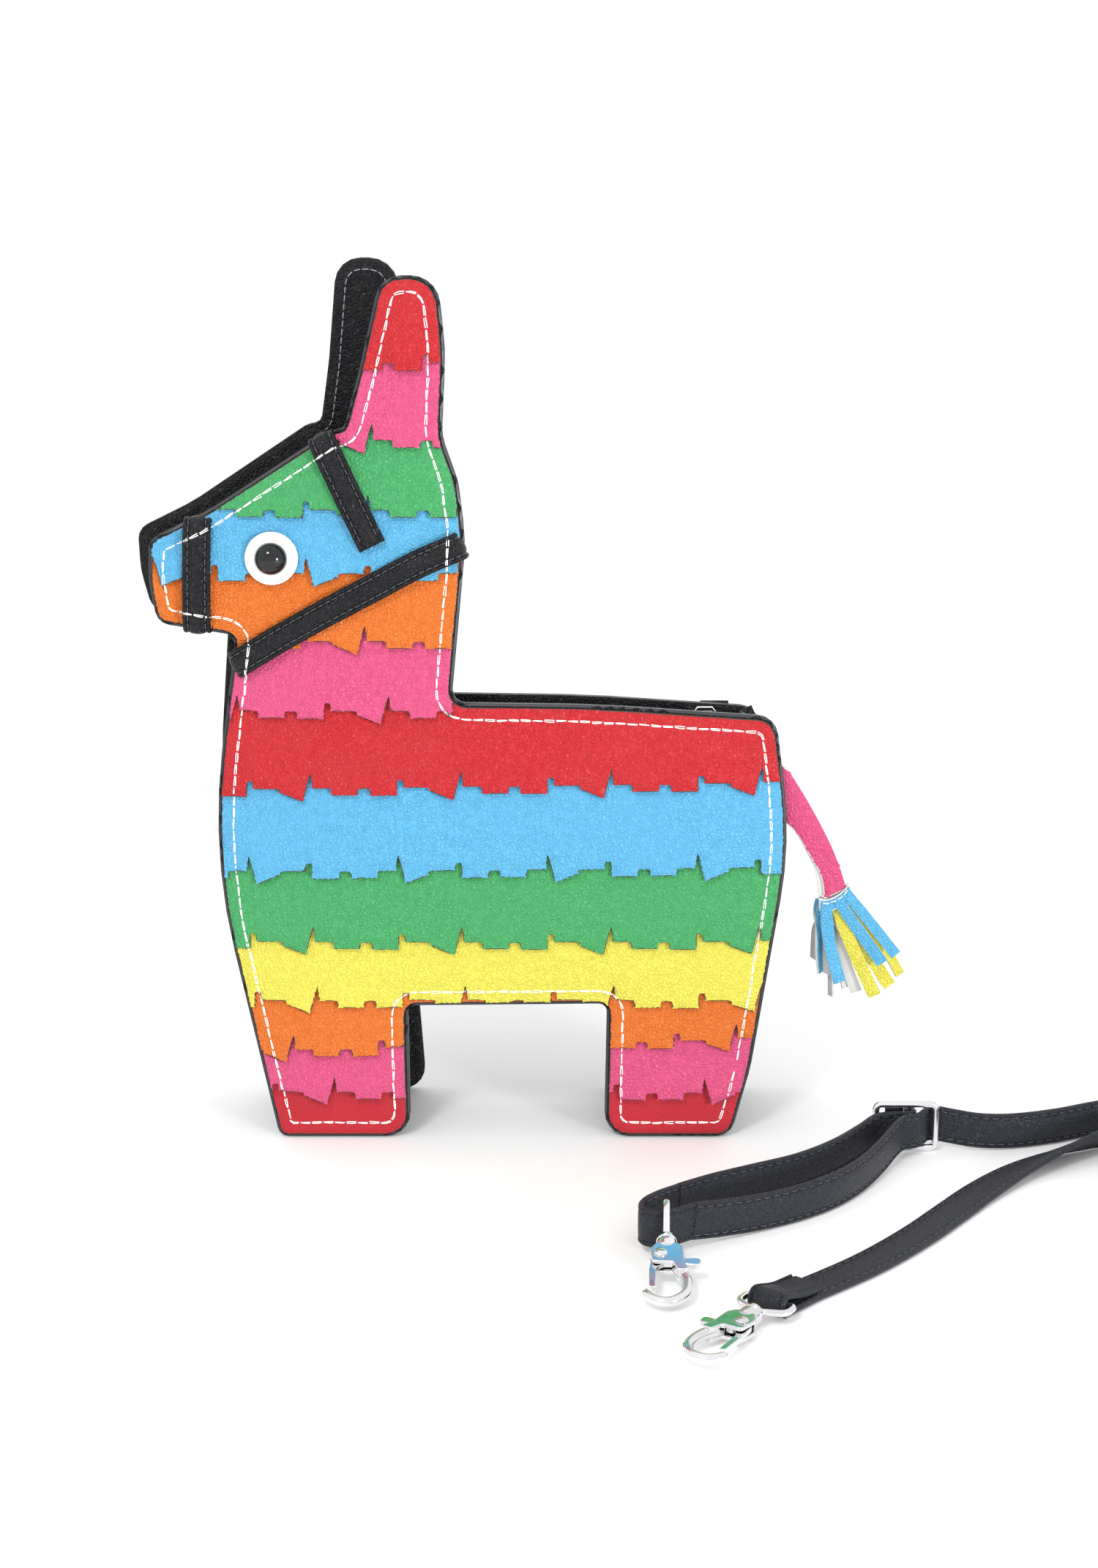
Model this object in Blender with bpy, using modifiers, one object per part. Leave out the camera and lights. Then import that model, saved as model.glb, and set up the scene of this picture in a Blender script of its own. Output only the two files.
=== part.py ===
"""A donkey-shaped party bag in bright fringed strips, with its clip-on shoulder strap lying beside it.

The bag stands on its four hoofs with the muzzle towards -X and its decorated side towards -Y.
Outlines are in millimetres on a panel: x along the bag, s up the leaning panel, z out of it.
"""
import math

import bmesh
import bpy
from mathutils import Matrix, Vector

MM = 0.001

# Bag body
DEPTH = 46.0  # over both panels at the hoofs
LEAN = math.radians(2.9)  # each panel leans in towards the ears
MIDDLE_Y = 1.4  # puts the box of bag and strips evenly round the origin
PANEL = 3.0
GAP = 0.3
SEAM = 5.0  # flange outside the gusset wall
WEB = 1.4
WALL_GAP = 0.9  # the sheared wall needs more room than a flat piece
BACK_SHEAR = 0.052  # the back panel sits further towards the muzzle as it rises
BACK_SHEAR_FROM = 60.0
LINING = 0.8
LINING_INSET = SEAM + WEB + 1.7
LINING_BEHIND = 4.9

# Fringed strips
STRIP = 0.8
STRIP_INSET = 1.2
STRIP_RISE = 1.4  # how far a strip stands off over one step
STRIP_TUCK = 6.0  # a strip's top edge goes this far under the one above
FRINGE_PERIOD = 47.0

# Bridle and eye
BRIDLE_WIDTH = 8.7
BRIDLE_THICK = 1.4
BRIDLE_HEIGHT = 4.3  # middle of the straps above the panel
EYE = (-76.7, 187.0)
EYE_WHITE_R = 8.2
EYE_DOME_R = 4.9
EYE_POST_R = 1.6
EYE_BASE = 3.6  # underside of the white disc above the panel

# Tail
TAIL_HINGE = (84.6, 106.0)  # x and z of the line where the tail flexes
TAIL_Y = -11.3
TAIL_THICK = 1.6

# Zip
ZIP_Z = 131.0
ZIP_START = -22.0
ZIP_END = 66.0
ZIP_TAPE_Y = 13.0
TOOTH_PITCH = 3.2
TOOTH_WIDTH = 1.2
SLIDER_X = 58.0

# Rings on the bag's back
BAG_RING_S = 121.0
BAG_RING_X = {"neck": -12.0, "rump": 62.0}
BAG_RING_WIRE = 1.0

# Swivel hooks: place, rotation and roll of the ring about the swivel's axis
CLASP_1 = ((41.9, -118.5, 7.5), (math.pi, math.radians(8.5), math.radians(-92)), math.pi / 2)
CLASP_2 = ((64.0, -158.0, 3.8), (0, 0, math.radians(-123.4)), 0.0)
LEVER_PIN = (10.3, 1.8)  # along the hook from the swivel, and across it
RING_BAR = -9.0  # the ring's straight bar, along the hook from the swivel
RING_HALF = 7.4

# Shoulder strap
STRAP_WIDTH = 11.6
STRAP_THICK = 2.0
BAR_R = 1.0  # the bars that the strap's ends fold round
FOLD_R = BAR_R + GAP + STRAP_THICK / 2 + 0.1
FOLD_TAIL = 16.0
BUCKLE_AT = (121.3, -33.5, 8.5)
BUCKLE_HALF = (9.5, 7.3)
COIL_AT = (252.0, -79.0)
COIL_R = 67.4
COIL_TALL = STRAP_WIDTH + 0.2

COLOURS = {
    "black": (0.02, 0.021, 0.026),
    "strap": (0.03, 0.033, 0.045),
    "red": (0.66, 0.02, 0.03),
    "deep_red": (0.55, 0.02, 0.04),
    "pink": (0.83, 0.1, 0.3),
    "green": (0.08, 0.48, 0.16),
    "blue": (0.13, 0.54, 0.86),
    "orange": (0.86, 0.2, 0.03),
    "yellow": (0.92, 0.86, 0.12),
    "white": (0.9, 0.9, 0.88),
    "lining": (0.05, 0.05, 0.055),
    "metal": (0.75, 0.75, 0.76),
}
METALS = {"metal"}


# Outlines: (x, s, radius of the rounded corner), anticlockwise as seen from the front

BACK_TOP = [(79.3, 137.0, 7), (24.0, 140.7, 300), (-22.0, 141.4, 4)]
NECK = [(-17.2, 192.0, 60), (-19.4, 210.0, 10)]
EAR = [(-24.3, 224.0, 14), (-23.0, 250.0, 80), (-25.4, 272.2, 9), (-42.6, 272.2, 8), (-49.3, 244.0, 60),
       (-54.2, 226.2, 3)]
CROWN = [(-27.0, 223.0, 7)]
FACE = [(-58.5, 225.6, 5), (-97.0, 200.9, 40), (-114.9, 192.3, 5), (-115.3, 179.0, 30), (-112.8, 166.4, 5),
        (-88.8, 162.6, 3)]
CHEST = [(-98.4, 94.0, 190)]
LEGS = [(-78.3, 0.0, 3.5), (-36.0, 0.0, 8), (-36.6, 43.6, 2.5), (26.9, 44.2, 2.5), (26.2, 0.0, 8),
        (66.9, 0.0, 6)]
RUMP = [(73.0, 23.0, 40), (84.7, 97.0, 200)]
FRONT_OUTLINE = NECK + EAR + FACE + CHEST + LEGS + RUMP + BACK_TOP

BACK_EAR_LIFT = (-3.0, 4.6)
BACK_TOP_DROP = 3.0
ZIP_VALLEY = 4.0
LINING_DROP = 16.0


def lowered(corners, drop):
    return [(x, s - drop, r) for x, s, r in corners]


def back_x(x, s):
    return x + BACK_SHEAR * (BACK_SHEAR_FROM - s)


def back_outline():
    """The back panel: the same shape sheared towards the muzzle, its ear a little taller."""
    ear = []
    for x, s, r in EAR:
        lift = max(0.0, (s - 230.0) / 42.0)
        ear.append((x + BACK_EAR_LIFT[0] * lift, s + BACK_EAR_LIFT[1] * lift, r))
    corners = NECK + ear + FACE + CHEST + LEGS + RUMP + lowered(BACK_TOP, BACK_TOP_DROP)
    return [(back_x(x, s), s, r) for x, s, r in corners]


def shell_outline(drop):
    """The bag without its ears, with the top of the back lowered into the zip's valley."""
    return NECK + CROWN + FACE + CHEST + LEGS + RUMP + lowered(BACK_TOP, drop)


def unit(ax, ay, bx, by):
    length = math.hypot(bx - ax, by - ay)
    return (bx - ax) / length, (by - ay) / length, length


def arc_at(before, corner, after):
    """Points of the arc that rounds one corner."""
    x, y, radius = corner
    ax, ay, a_len = unit(x, y, before[0], before[1])
    bx, by, b_len = unit(x, y, after[0], after[1])
    between = math.acos(max(-1.0, min(1.0, ax * bx + ay * by)))
    turn = math.pi - between
    reach = min(radius * math.tan(turn / 2), 0.48 * a_len, 0.48 * b_len)
    radius = reach / math.tan(turn / 2) if turn > 1e-4 else 0.0
    if radius < 0.05:
        return [(x, y)]
    sag = 0.15
    step = 2 * math.acos(max(0.6, 1 - sag / radius))
    count = max(1, math.ceil(turn / step))
    mx, my, _ = unit(0, 0, ax + bx, ay + by)
    away = radius / math.cos(turn / 2)
    cx, cy = x + mx * away, y + my * away
    start = math.atan2(y + ay * reach - cy, x + ax * reach - cx)
    end = math.atan2(y + by * reach - cy, x + bx * reach - cx)
    sweep = (end - start + math.pi) % (2 * math.pi) - math.pi
    angles = [start + sweep * i / count for i in range(count + 1)]
    return [(cx + radius * math.cos(a), cy + radius * math.sin(a)) for a in angles]


def rounded(corners, closed=True):
    """A polyline through rounded corners."""
    count = len(corners)
    line = []
    for i, corner in enumerate(corners):
        if not closed and i in (0, count - 1):
            line.append((corner[0], corner[1]))
        else:
            line += arc_at(corners[i - 1], corner, corners[(i + 1) % count])
    return line


def inset(corners, by):
    """An anticlockwise closed outline moved inwards, its arcs kept concentric."""
    moved = []
    count = len(corners)
    for i, (x, y, radius) in enumerate(corners):
        ax, ay, _ = unit(*corners[i - 1][:2], x, y)
        bx, by_, _ = unit(x, y, *corners[(i + 1) % count][:2])
        nx, ny = -(ay + by_), ax + bx
        scale = by / (1 + ax * bx + ay * by_)
        convex = ax * by_ - ay * bx > 0
        new_radius = max(radius - by, 0.6) if convex else radius + by
        moved.append((x + nx * scale, y + ny * scale, new_radius))
    return moved


# Meshes

def metres(points):
    return [tuple(c * MM for c in point) for point in points]


def welded(mesh):
    bm = bmesh.new()
    bm.from_mesh(mesh)
    bmesh.ops.remove_doubles(bm, verts=bm.verts, dist=1e-6)
    bm.to_mesh(mesh)
    bm.free()
    return mesh


def evaluated(thing):
    """The final mesh of an object, which is then removed."""
    bpy.context.view_layer.update()
    graph = bpy.context.evaluated_depsgraph_get()
    mesh = bpy.data.meshes.new_from_object(thing.evaluated_get(graph))
    bpy.data.objects.remove(thing)
    return welded(mesh)


def temporary(data):
    thing = bpy.data.objects.new("temporary", data)
    bpy.context.scene.collection.objects.link(thing)
    return thing


def plate(loops, low, high):
    """A flat piece between two heights; the first loop is its outline, the others are holes."""
    curve = bpy.data.curves.new("outline", "CURVE")
    curve.dimensions = "2D"
    curve.fill_mode = "BOTH"
    curve.extrude = (high - low) / 2 * MM
    for loop in loops:
        spline = curve.splines.new("POLY")
        spline.points.add(len(loop) - 1)
        for point, (x, y) in zip(spline.points, loop):
            point.co = (x * MM, y * MM, 0, 1)
        spline.use_cyclic_u = True
    mesh = evaluated(temporary(curve))
    mesh.transform(Matrix.Translation((0, 0, (low + high) / 2 * MM)))
    return mesh


def circle(x, y, radius, count=16):
    turns = [2 * math.pi * i / count for i in range(count)]
    return [(x + radius * math.cos(t), y + radius * math.sin(t)) for t in turns]


def box(low, high):
    x0, y0, z0 = low
    x1, y1, z1 = high
    return plate([[(x0, y0), (x1, y0), (x1, y1), (x0, y1)]], z0, z1)


def rod(start, end, radius, sides=16):
    """A round bar between two points."""
    a, b = Vector(start) * MM, Vector(end) * MM
    bm = bmesh.new()
    place = Matrix.Translation((a + b) / 2) @ (b - a).to_track_quat("Z", "Y").to_matrix().to_4x4()
    bmesh.ops.create_cone(bm, cap_ends=True, segments=sides, radius1=radius * MM, radius2=radius * MM,
                          depth=(b - a).length, matrix=place)
    mesh = bpy.data.meshes.new("rod")
    bm.to_mesh(mesh)
    bm.free()
    return mesh


def wire(points, radius, closed=False, sides_level=1):
    """A round wire along points."""
    curve = bpy.data.curves.new("wire", "CURVE")
    curve.dimensions = "3D"
    curve.bevel_depth = radius * MM
    curve.bevel_resolution = sides_level
    curve.use_fill_caps = True
    spline = curve.splines.new("POLY")
    spline.points.add(len(points) - 1)
    for point, place in zip(spline.points, metres(points)):
        point.co = (*place, 1)
    spline.use_cyclic_u = closed
    return evaluated(temporary(curve))


def ribbon(points, width, thick, rolls, twist="Z_UP"):
    """A flat strap along points: roll 0 stands it on edge and 90 lays it flat."""
    curve = bpy.data.curves.new("ribbon", "CURVE")
    curve.dimensions = "3D"
    curve.twist_mode = twist
    curve.bevel_depth = thick / 2 * MM
    curve.extrude = (width - thick) / 2 * MM
    curve.bevel_resolution = 0
    curve.use_fill_caps = True
    spline = curve.splines.new("POLY")
    spline.points.add(len(points) - 1)
    for point, place, roll in zip(spline.points, metres(points), rolls):
        point.co = (*place, 1)
        point.tilt = math.radians(roll)
    return evaluated(temporary(curve))


def boolean(mesh, other, operation):
    """Join, cut or intersect two closed meshes."""
    thing, tool = temporary(mesh), temporary(other)
    modifier = thing.modifiers.new("cut", "BOOLEAN")
    modifier.operation = operation
    modifier.solver = "EXACT"
    modifier.object = tool
    result = evaluated(thing)
    bpy.data.objects.remove(tool)
    return result


def joined(first, *others):
    for other in others:
        first = boolean(first, other, "UNION")
    return first


def without(first, *others):
    for other in others:
        first = boolean(first, other, "DIFFERENCE")
    return first


def smooth_route(points, step):
    """A smooth curve through hand-placed points, read every step millimetres."""
    count = len(points)
    fine = []
    for i in range(count - 1):
        p0 = Vector(points[max(i - 1, 0)])
        p1 = Vector(points[i])
        p2 = Vector(points[i + 1])
        p3 = Vector(points[min(i + 2, count - 1)])
        for j in range(20):
            t = j / 20
            fine.append(0.5 * ((2 * p1) + (p2 - p0) * t + (2 * p0 - 5 * p1 + 4 * p2 - p3) * t * t
                               + (3 * p1 - p0 - 3 * p2 + p3) * t ** 3))
    fine.append(Vector(points[-1]))
    lengths = [0.0]
    for a, b in zip(fine, fine[1:]):
        lengths.append(lengths[-1] + (b - a).length)
    pieces = max(1, round(lengths[-1] / step))
    route = []
    for k in range(pieces + 1):
        want = lengths[-1] * k / pieces
        i = min(max(j for j, total in enumerate(lengths) if total <= want + 1e-9), len(fine) - 2)
        part = (want - lengths[i]) / max(lengths[i + 1] - lengths[i], 1e-9)
        route.append(fine[i].lerp(fine[i + 1], part))
    return route


# Objects

class Bag:
    """The collection, its materials and the frames that pieces are placed in."""

    def __init__(self):
        for old in list(bpy.data.objects):
            bpy.data.objects.remove(old)
        self.collection = bpy.data.collections.new("donkey_bag")
        bpy.context.scene.collection.children.link(self.collection)
        self.materials = {name: self.make_material(name) for name in COLOURS}
        lift = PANEL * math.sin(LEAN)
        self.front = self.frame("front_side", (0, MIDDLE_Y - DEPTH / 2, lift), (math.pi / 2 - LEAN, 0, 0))
        self.back = self.frame("back_side", (0, MIDDLE_Y + DEPTH / 2, lift), (math.pi / 2 + LEAN, 0, 0))

    def make_material(self, name):
        material = bpy.data.materials.new(name)
        material.use_nodes = True
        shader = material.node_tree.nodes["Principled BSDF"]
        shader.inputs["Base Color"].default_value = (*COLOURS[name], 1)
        shader.inputs["Metallic"].default_value = 1.0 if name in METALS else 0.0
        shader.inputs["Roughness"].default_value = 0.18 if name in METALS else 0.45
        return material

    def frame(self, name, location, rotation, parent=None):
        empty = bpy.data.objects.new(name, None)
        empty.location = [c * MM for c in location]
        empty.rotation_euler = rotation
        empty.parent = parent
        self.collection.objects.link(empty)
        bpy.context.view_layer.update()
        return empty

    def add(self, name, mesh, colour, parent=None, location=(0, 0, 0), rotation=(0, 0, 0)):
        """One named piece, placed in a frame."""
        mesh.name = name
        mesh.materials.clear()
        mesh.materials.append(self.materials[colour])
        mesh.shade_smooth()
        mesh.set_sharp_from_angle(angle=math.radians(35))
        piece = bpy.data.objects.new(name, mesh)
        piece.location = [c * MM for c in location]
        piece.rotation_euler = rotation
        piece.parent = parent
        self.collection.objects.link(piece)
        return piece


def add_panels(bag):
    eye_hole = circle(*EYE, EYE_POST_R + GAP + 0.2)
    bag.add("panel_front", plate([rounded(FRONT_OUTLINE), eye_hole], -PANEL, 0), "black", bag.front)
    bag.add("panel_back", plate([rounded(back_outline())], 0, PANEL), "black", bag.back)


def wall(bag, name, path):
    """A gusset: a web between the two panels that follows part of the shell's outline."""
    front, back = bag.front.matrix_world, bag.back.matrix_world
    reach = PANEL + WALL_GAP
    bm = bmesh.new()
    rows = []
    for x, s in path:
        near = front @ Vector((x * MM, s * MM, -reach * MM))
        far = back @ Vector((back_x(x, s) * MM, s * MM, reach * MM))
        rows.append((bm.verts.new(near), bm.verts.new(far)))
    for (a, b), (c, d) in zip(rows, rows[1:]):
        bm.faces.new((a, b, d, c))
    mesh = bpy.data.meshes.new(name)
    bm.to_mesh(mesh)
    bm.free()
    piece = bag.add(name, mesh, "black")
    shell = piece.modifiers.new("thickness", "SOLIDIFY")
    shell.thickness = WEB * MM
    shell.offset = -1
    shell.use_even_offset = True
    return piece


def between(a, b, part):
    return a[0] + (b[0] - a[0]) * part, a[1] + (b[1] - a[1]) * part


def add_gussets(bag):
    """Five walls round the bag, with a seam gap of 2 * GAP between neighbours."""
    ring = inset(shell_outline(ZIP_VALLEY), SEAM)
    neck, crown = ring[0:2], ring[2:3]
    face, chest = ring[3:9], ring[9:10]
    legs, rump = ring[10:16], ring[16:18]
    rump_top, neck_foot = ring[18], ring[20]

    def seam(a, b, part):
        x, s = between(a, b, part)
        dx, dy, _ = unit(*a[:2], *b[:2])
        return (x - dx * GAP, s - dy * GAP, 0), (x + dx * GAP, s + dy * GAP, 0)

    neck_end, face_start = seam(neck[0], neck[1], 0.5)
    face_end, chest_start = seam(face[-1], chest[0], 0.15)
    chest_end, legs_start = seam(chest[0], legs[0], 0.45)
    legs_end, rump_start = seam(rump[0], rump[1], 0.25)
    foot = (neck_foot[0], ZIP_Z - 4, 0)
    paths = {
        "gusset_neck": [foot, (foot[0] + 0.4, foot[1] + 9, 0), neck[0], neck_end],
        "gusset_face": [face_start, neck[1]] + crown + face + [face_end],
        "gusset_chest": [chest_start] + chest + [chest_end],
        "gusset_under": [legs_start] + legs + [rump[0], legs_end],
        "gusset_rump": [rump_start, rump[1], (rump_top[0], ZIP_Z + 2, 0)],
    }
    for name, corners in paths.items():
        wall(bag, name, rounded(corners, closed=False))


def add_linings(bag):
    outline = inset(shell_outline(LINING_DROP), LINING_INSET)
    near = rounded(outline)
    far = rounded([(back_x(x, s), s, r) for x, s, r in outline])
    low = LINING_BEHIND
    bag.add("lining_front", plate([near], -low - LINING, -low), "lining", bag.front)
    bag.add("lining_back", plate([far], low, low + LINING), "lining", bag.back)


# One repeat of the cutting die: x along the strip and height above the short teeth's ends
DIE = [(0.0, 4.9), (0.5, 0.0), (6.3, 0.0), (6.5, -2.2), (14.7, -2.2), (15.0, -0.2), (18.4, -0.2),
       (18.6, -2.4), (27.0, -2.4), (27.1, 2.4), (28.8, 2.4), (29.0, 0.0), (37.0, -0.1), (37.2, -1.2),
       (44.6, -4.1)]

# name, colour, height of the short teeth, slope, x of one deep notch, die turned over, x range
STRIPS = [
    ("ear_red", "red", 246.0, 0.0, -57.0, False, (-130, 130)),
    ("ear_pink", "pink", 222.7, 0.0, -45.5, False, (-130, 130)),
    ("head_green", "green", 201.5, 0.0, -46.8, False, (-93.2, 130)),
    ("head_blue", "blue", 182.0, 0.0, -66.3, True, (-130, 130)),
    ("head_orange", "orange", 161.0, 0.0, -48.4, False, (-130, 130)),
    ("neck_pink", "pink", 139.2, 0.0, -41.4, False, (-91.0, -21.5)),
    ("body_red", "red", 115.5, 0.013, -19.0, False, (-130, 130)),
    ("body_blue", "blue", 88.7, 0.008, -39.0, True, (-130, 130)),
    ("body_green", "green", 65.3, 0.0, -19.0, False, (-130, 130)),
    ("body_yellow", "yellow", 46.0, 0.0, -18.0, False, (-130, 130)),
    ("legs_orange", "orange", 31.5, 0.025, -72.9, False, (-130, 130)),
    ("leg_pink_front", "pink", 15.7, 0.0, -60.0, False, (-130, 0)),
    ("leg_pink_rear", "pink", 15.5, 0.0, 58.0, True, (0, 130)),
]
FIRST_TOP = 278.0
STRIP_BOW = 2e-5
HOOFS = {"hoof_red_front": (-130, 0), "hoof_red_rear": (0, 130)}


def fringe(level, slope, notch, turned, limits):
    """The lower edge of a strip, from its left end to its right end."""
    low, high = limits
    edge = []
    for repeat in range(-4, 5):
        die = [(FRINGE_PERIOD - x, dz) for x, dz in reversed(DIE)] if turned else DIE
        for x, dz in die:
            edge.append((notch + repeat * FRINGE_PERIOD + x, dz))
    edge = [(x, level + slope * x + STRIP_BOW * x * x + dz) for x, dz in edge if low < x < high]
    return [(low, level + slope * low)] + edge + [(high, level + slope * high)]


def strip_mesh(field, edge, top):
    low, high = edge[0][0], edge[-1][0]
    band = plate([edge + [(high, top), (low, top)]], 0, STRIP)
    cut = boolean(band, field.copy(), "INTERSECT")
    cut.transform(Matrix.Translation((0, -top * MM, 0)))
    return cut


def add_strips(bag):
    """Shingled strips: each hangs from its top edge and stands clear of the next one down."""
    field = plate([rounded(inset(FRONT_OUTLINE, STRIP_INSET))], -PANEL, PANEL)
    eye_hole = rod((*EYE, -9), (*EYE, 9), EYE_POST_R + GAP + 0.2)
    field = without(field, eye_hole)
    above = FIRST_TOP - STRIP_TUCK
    tops = {}
    for name, colour, level, slope, notch, turned, limits in STRIPS:
        if name != "leg_pink_rear":
            top = above + STRIP_TUCK
            pitch = top - STRIP_TUCK - level
            above = level
        tops[name] = top
        mesh = strip_mesh(field, fringe(level, slope, notch, turned, limits), top)
        tilt = -math.atan(STRIP_RISE / pitch)
        bag.add(name, mesh, colour, bag.front, (0, top, GAP), (tilt, 0, 0))
    for name, limits in HOOFS.items():
        top = above + STRIP_TUCK
        edge = [(limits[0], -5), (limits[1], -5)]
        bag.add(name, strip_mesh(field, edge, top), "deep_red", bag.front, (0, top, GAP))


def add_bridle(bag):
    """Three straps over the head, each bent round the panel's edge at its ends."""
    h = BRIDLE_HEIGHT
    noseband = [(-98.85, 206.2, -2.2), (-98.9, 205.6, 1.2), (-99.1, 203.6, h - 0.7), (-99.4, 200.0, h),
                (-99.8, 183.0, h), (-100.0, 168.0, h), (-100.2, 162.6, h - 0.7), (-100.3, 160.9, 1.2),
                (-100.35, 160.3, -2.2)]
    cheek = [(-63.3, 228.6, -2.2), (-63.0, 228.0, 1.2), (-61.9, 225.6, h - 0.7), (-60.4, 221.6, h),
             (-52.0, 204.0, h), (-44.6, 188.4, h)]
    throat = [(-94.9, 149.8, -2.2), (-94.4, 150.2, 1.6), (-92.2, 151.8, h - 0.5), (-88.0, 155.0, h),
              (-76.0, 162.2, h), (-62.5, 169.6, h), (-46.0, 178.2, h), (-33.0, 185.6, h),
              (-22.0, 190.0, h), (-17.0, 191.5, h - 0.5), (-14.9, 192.3, 1.6), (-14.3, 192.5, -2.2)]
    for name, route in {"noseband": noseband, "cheek_strap": cheek, "throat_strap": throat}.items():
        points = smooth_route(route, 2.6)
        flat = ribbon(points, BRIDLE_WIDTH, BRIDLE_THICK, [90] * len(points))
        bag.add(name, flat, "black", bag.front)


def add_eye(bag):
    x, s = EYE
    base = EYE_BASE
    hole = circle(x, s, EYE_POST_R + GAP)
    bag.add("eye_white", plate([circle(x, s, EYE_WHITE_R, 32), hole], base, base + 1.1), "white", bag.front)
    foot = base + 1.1 + GAP
    bm = bmesh.new()
    bmesh.ops.create_uvsphere(bm, u_segments=24, v_segments=12, radius=EYE_DOME_R * MM)
    ball = bpy.data.meshes.new("ball")
    bm.to_mesh(ball)
    bm.free()
    ball.transform(Matrix.Translation((x * MM, s * MM, foot * MM)))
    below = plate([circle(x, s, EYE_DOME_R + 3)], foot - EYE_DOME_R - 1, foot)
    post = rod((x, s, -LINING_BEHIND + GAP), (x, s, foot + 1), EYE_POST_R)
    bag.add("eye_dome", joined(without(ball, below), post), "black", bag.front)
    washer = plate([circle(x, s, 5.0, 24), hole], -PANEL - GAP - 0.9, -PANEL - GAP)
    bag.add("eye_washer", washer, "white", bag.front)


def add_tail(bag):
    """The tail: a root sewn into the seam, a strap that flexes there, and a two-colour tassel."""
    hx, hz = TAIL_HINGE
    low, high = -TAIL_THICK / 2, TAIL_THICK / 2
    upright = (math.pi / 2, 0, 0)
    root = [(79.2, 121.5), (hx - 1.1, 119.5), (hx - 1.1, 100.6), (79.2, 107.5)]
    bag.add("tail_root", plate([root], low, high), "pink", None, (0, TAIL_Y, 0), upright)
    hinge = bag.frame("tail_hinge", (hx, TAIL_Y, hz), (math.pi / 2, 0, 0))
    strap = [(84.9, 118.6, 1.5), (89.2, 111.4, 20), (96.0, 97.6, 20), (102.6, 80.8, 1), (95.2, 77.2, 1),
             (84.9, 99.8, 2)]
    local = [(x - hx, z - hz, r) for x, z, r in strap]
    bag.add("tail_strap", plate([rounded(local)], low, high), "pink", hinge)
    start = (99.6 - hx, 80.0 - hz)
    blue = tassel(start, 27.5, (-124.0, -46.0), 7)
    yellow = tassel(start, 38.1, (-87.0, -54.0), 4)
    bag.add("tassel_blue", plate([blue], high + GAP, high + GAP + 1.2), "blue", hinge)
    bag.add("tassel_yellow", plate([yellow], low - GAP - 1.2, low - GAP), "yellow", hinge)


def tassel(start, length, spread, fingers):
    """A fan of cut fingers below a straight collar."""
    x0, y0 = start
    first, last = (math.radians(a) for a in spread)
    slit = 0.35
    outline = [(x0 + 5.2, y0 + 1.5), (x0 - 4.6, y0 - 2.6)]
    for i in range(fingers):
        a = first + (last - first) * i / fingers
        b = first + (last - first) * (i + 1) / fingers
        reach = length * (1.0 if i % 2 else 0.9)
        root = 6.5 + 0.5 * fingers
        half = slit / reach
        outline.append((x0 + reach * math.cos(a + half), y0 + reach * math.sin(a + half)))
        outline.append((x0 + reach * math.cos(b - half), y0 + reach * math.sin(b - half)))
        if i < fingers - 1:
            outline.append((x0 + root * math.cos(b), y0 + root * math.sin(b)))
    return outline


def comb(side, first, last):
    """A row of zip teeth pointing across the middle from one side."""
    spine = [(last, side * 2.1), (last, side * 1.2)]
    edge = []
    x = first + (0.0 if side > 0 else TOOTH_PITCH / 2)
    while x < last - TOOTH_WIDTH:
        edge += [(x, side * 1.2), (x, -side * 0.8), (x + TOOTH_WIDTH, -side * 0.8), (x + TOOTH_WIDTH, side * 1.2)]
        x += TOOTH_PITCH
    return spine + edge[::-1] + [(first, side * 1.2), (first, side * 2.1)]


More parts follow.
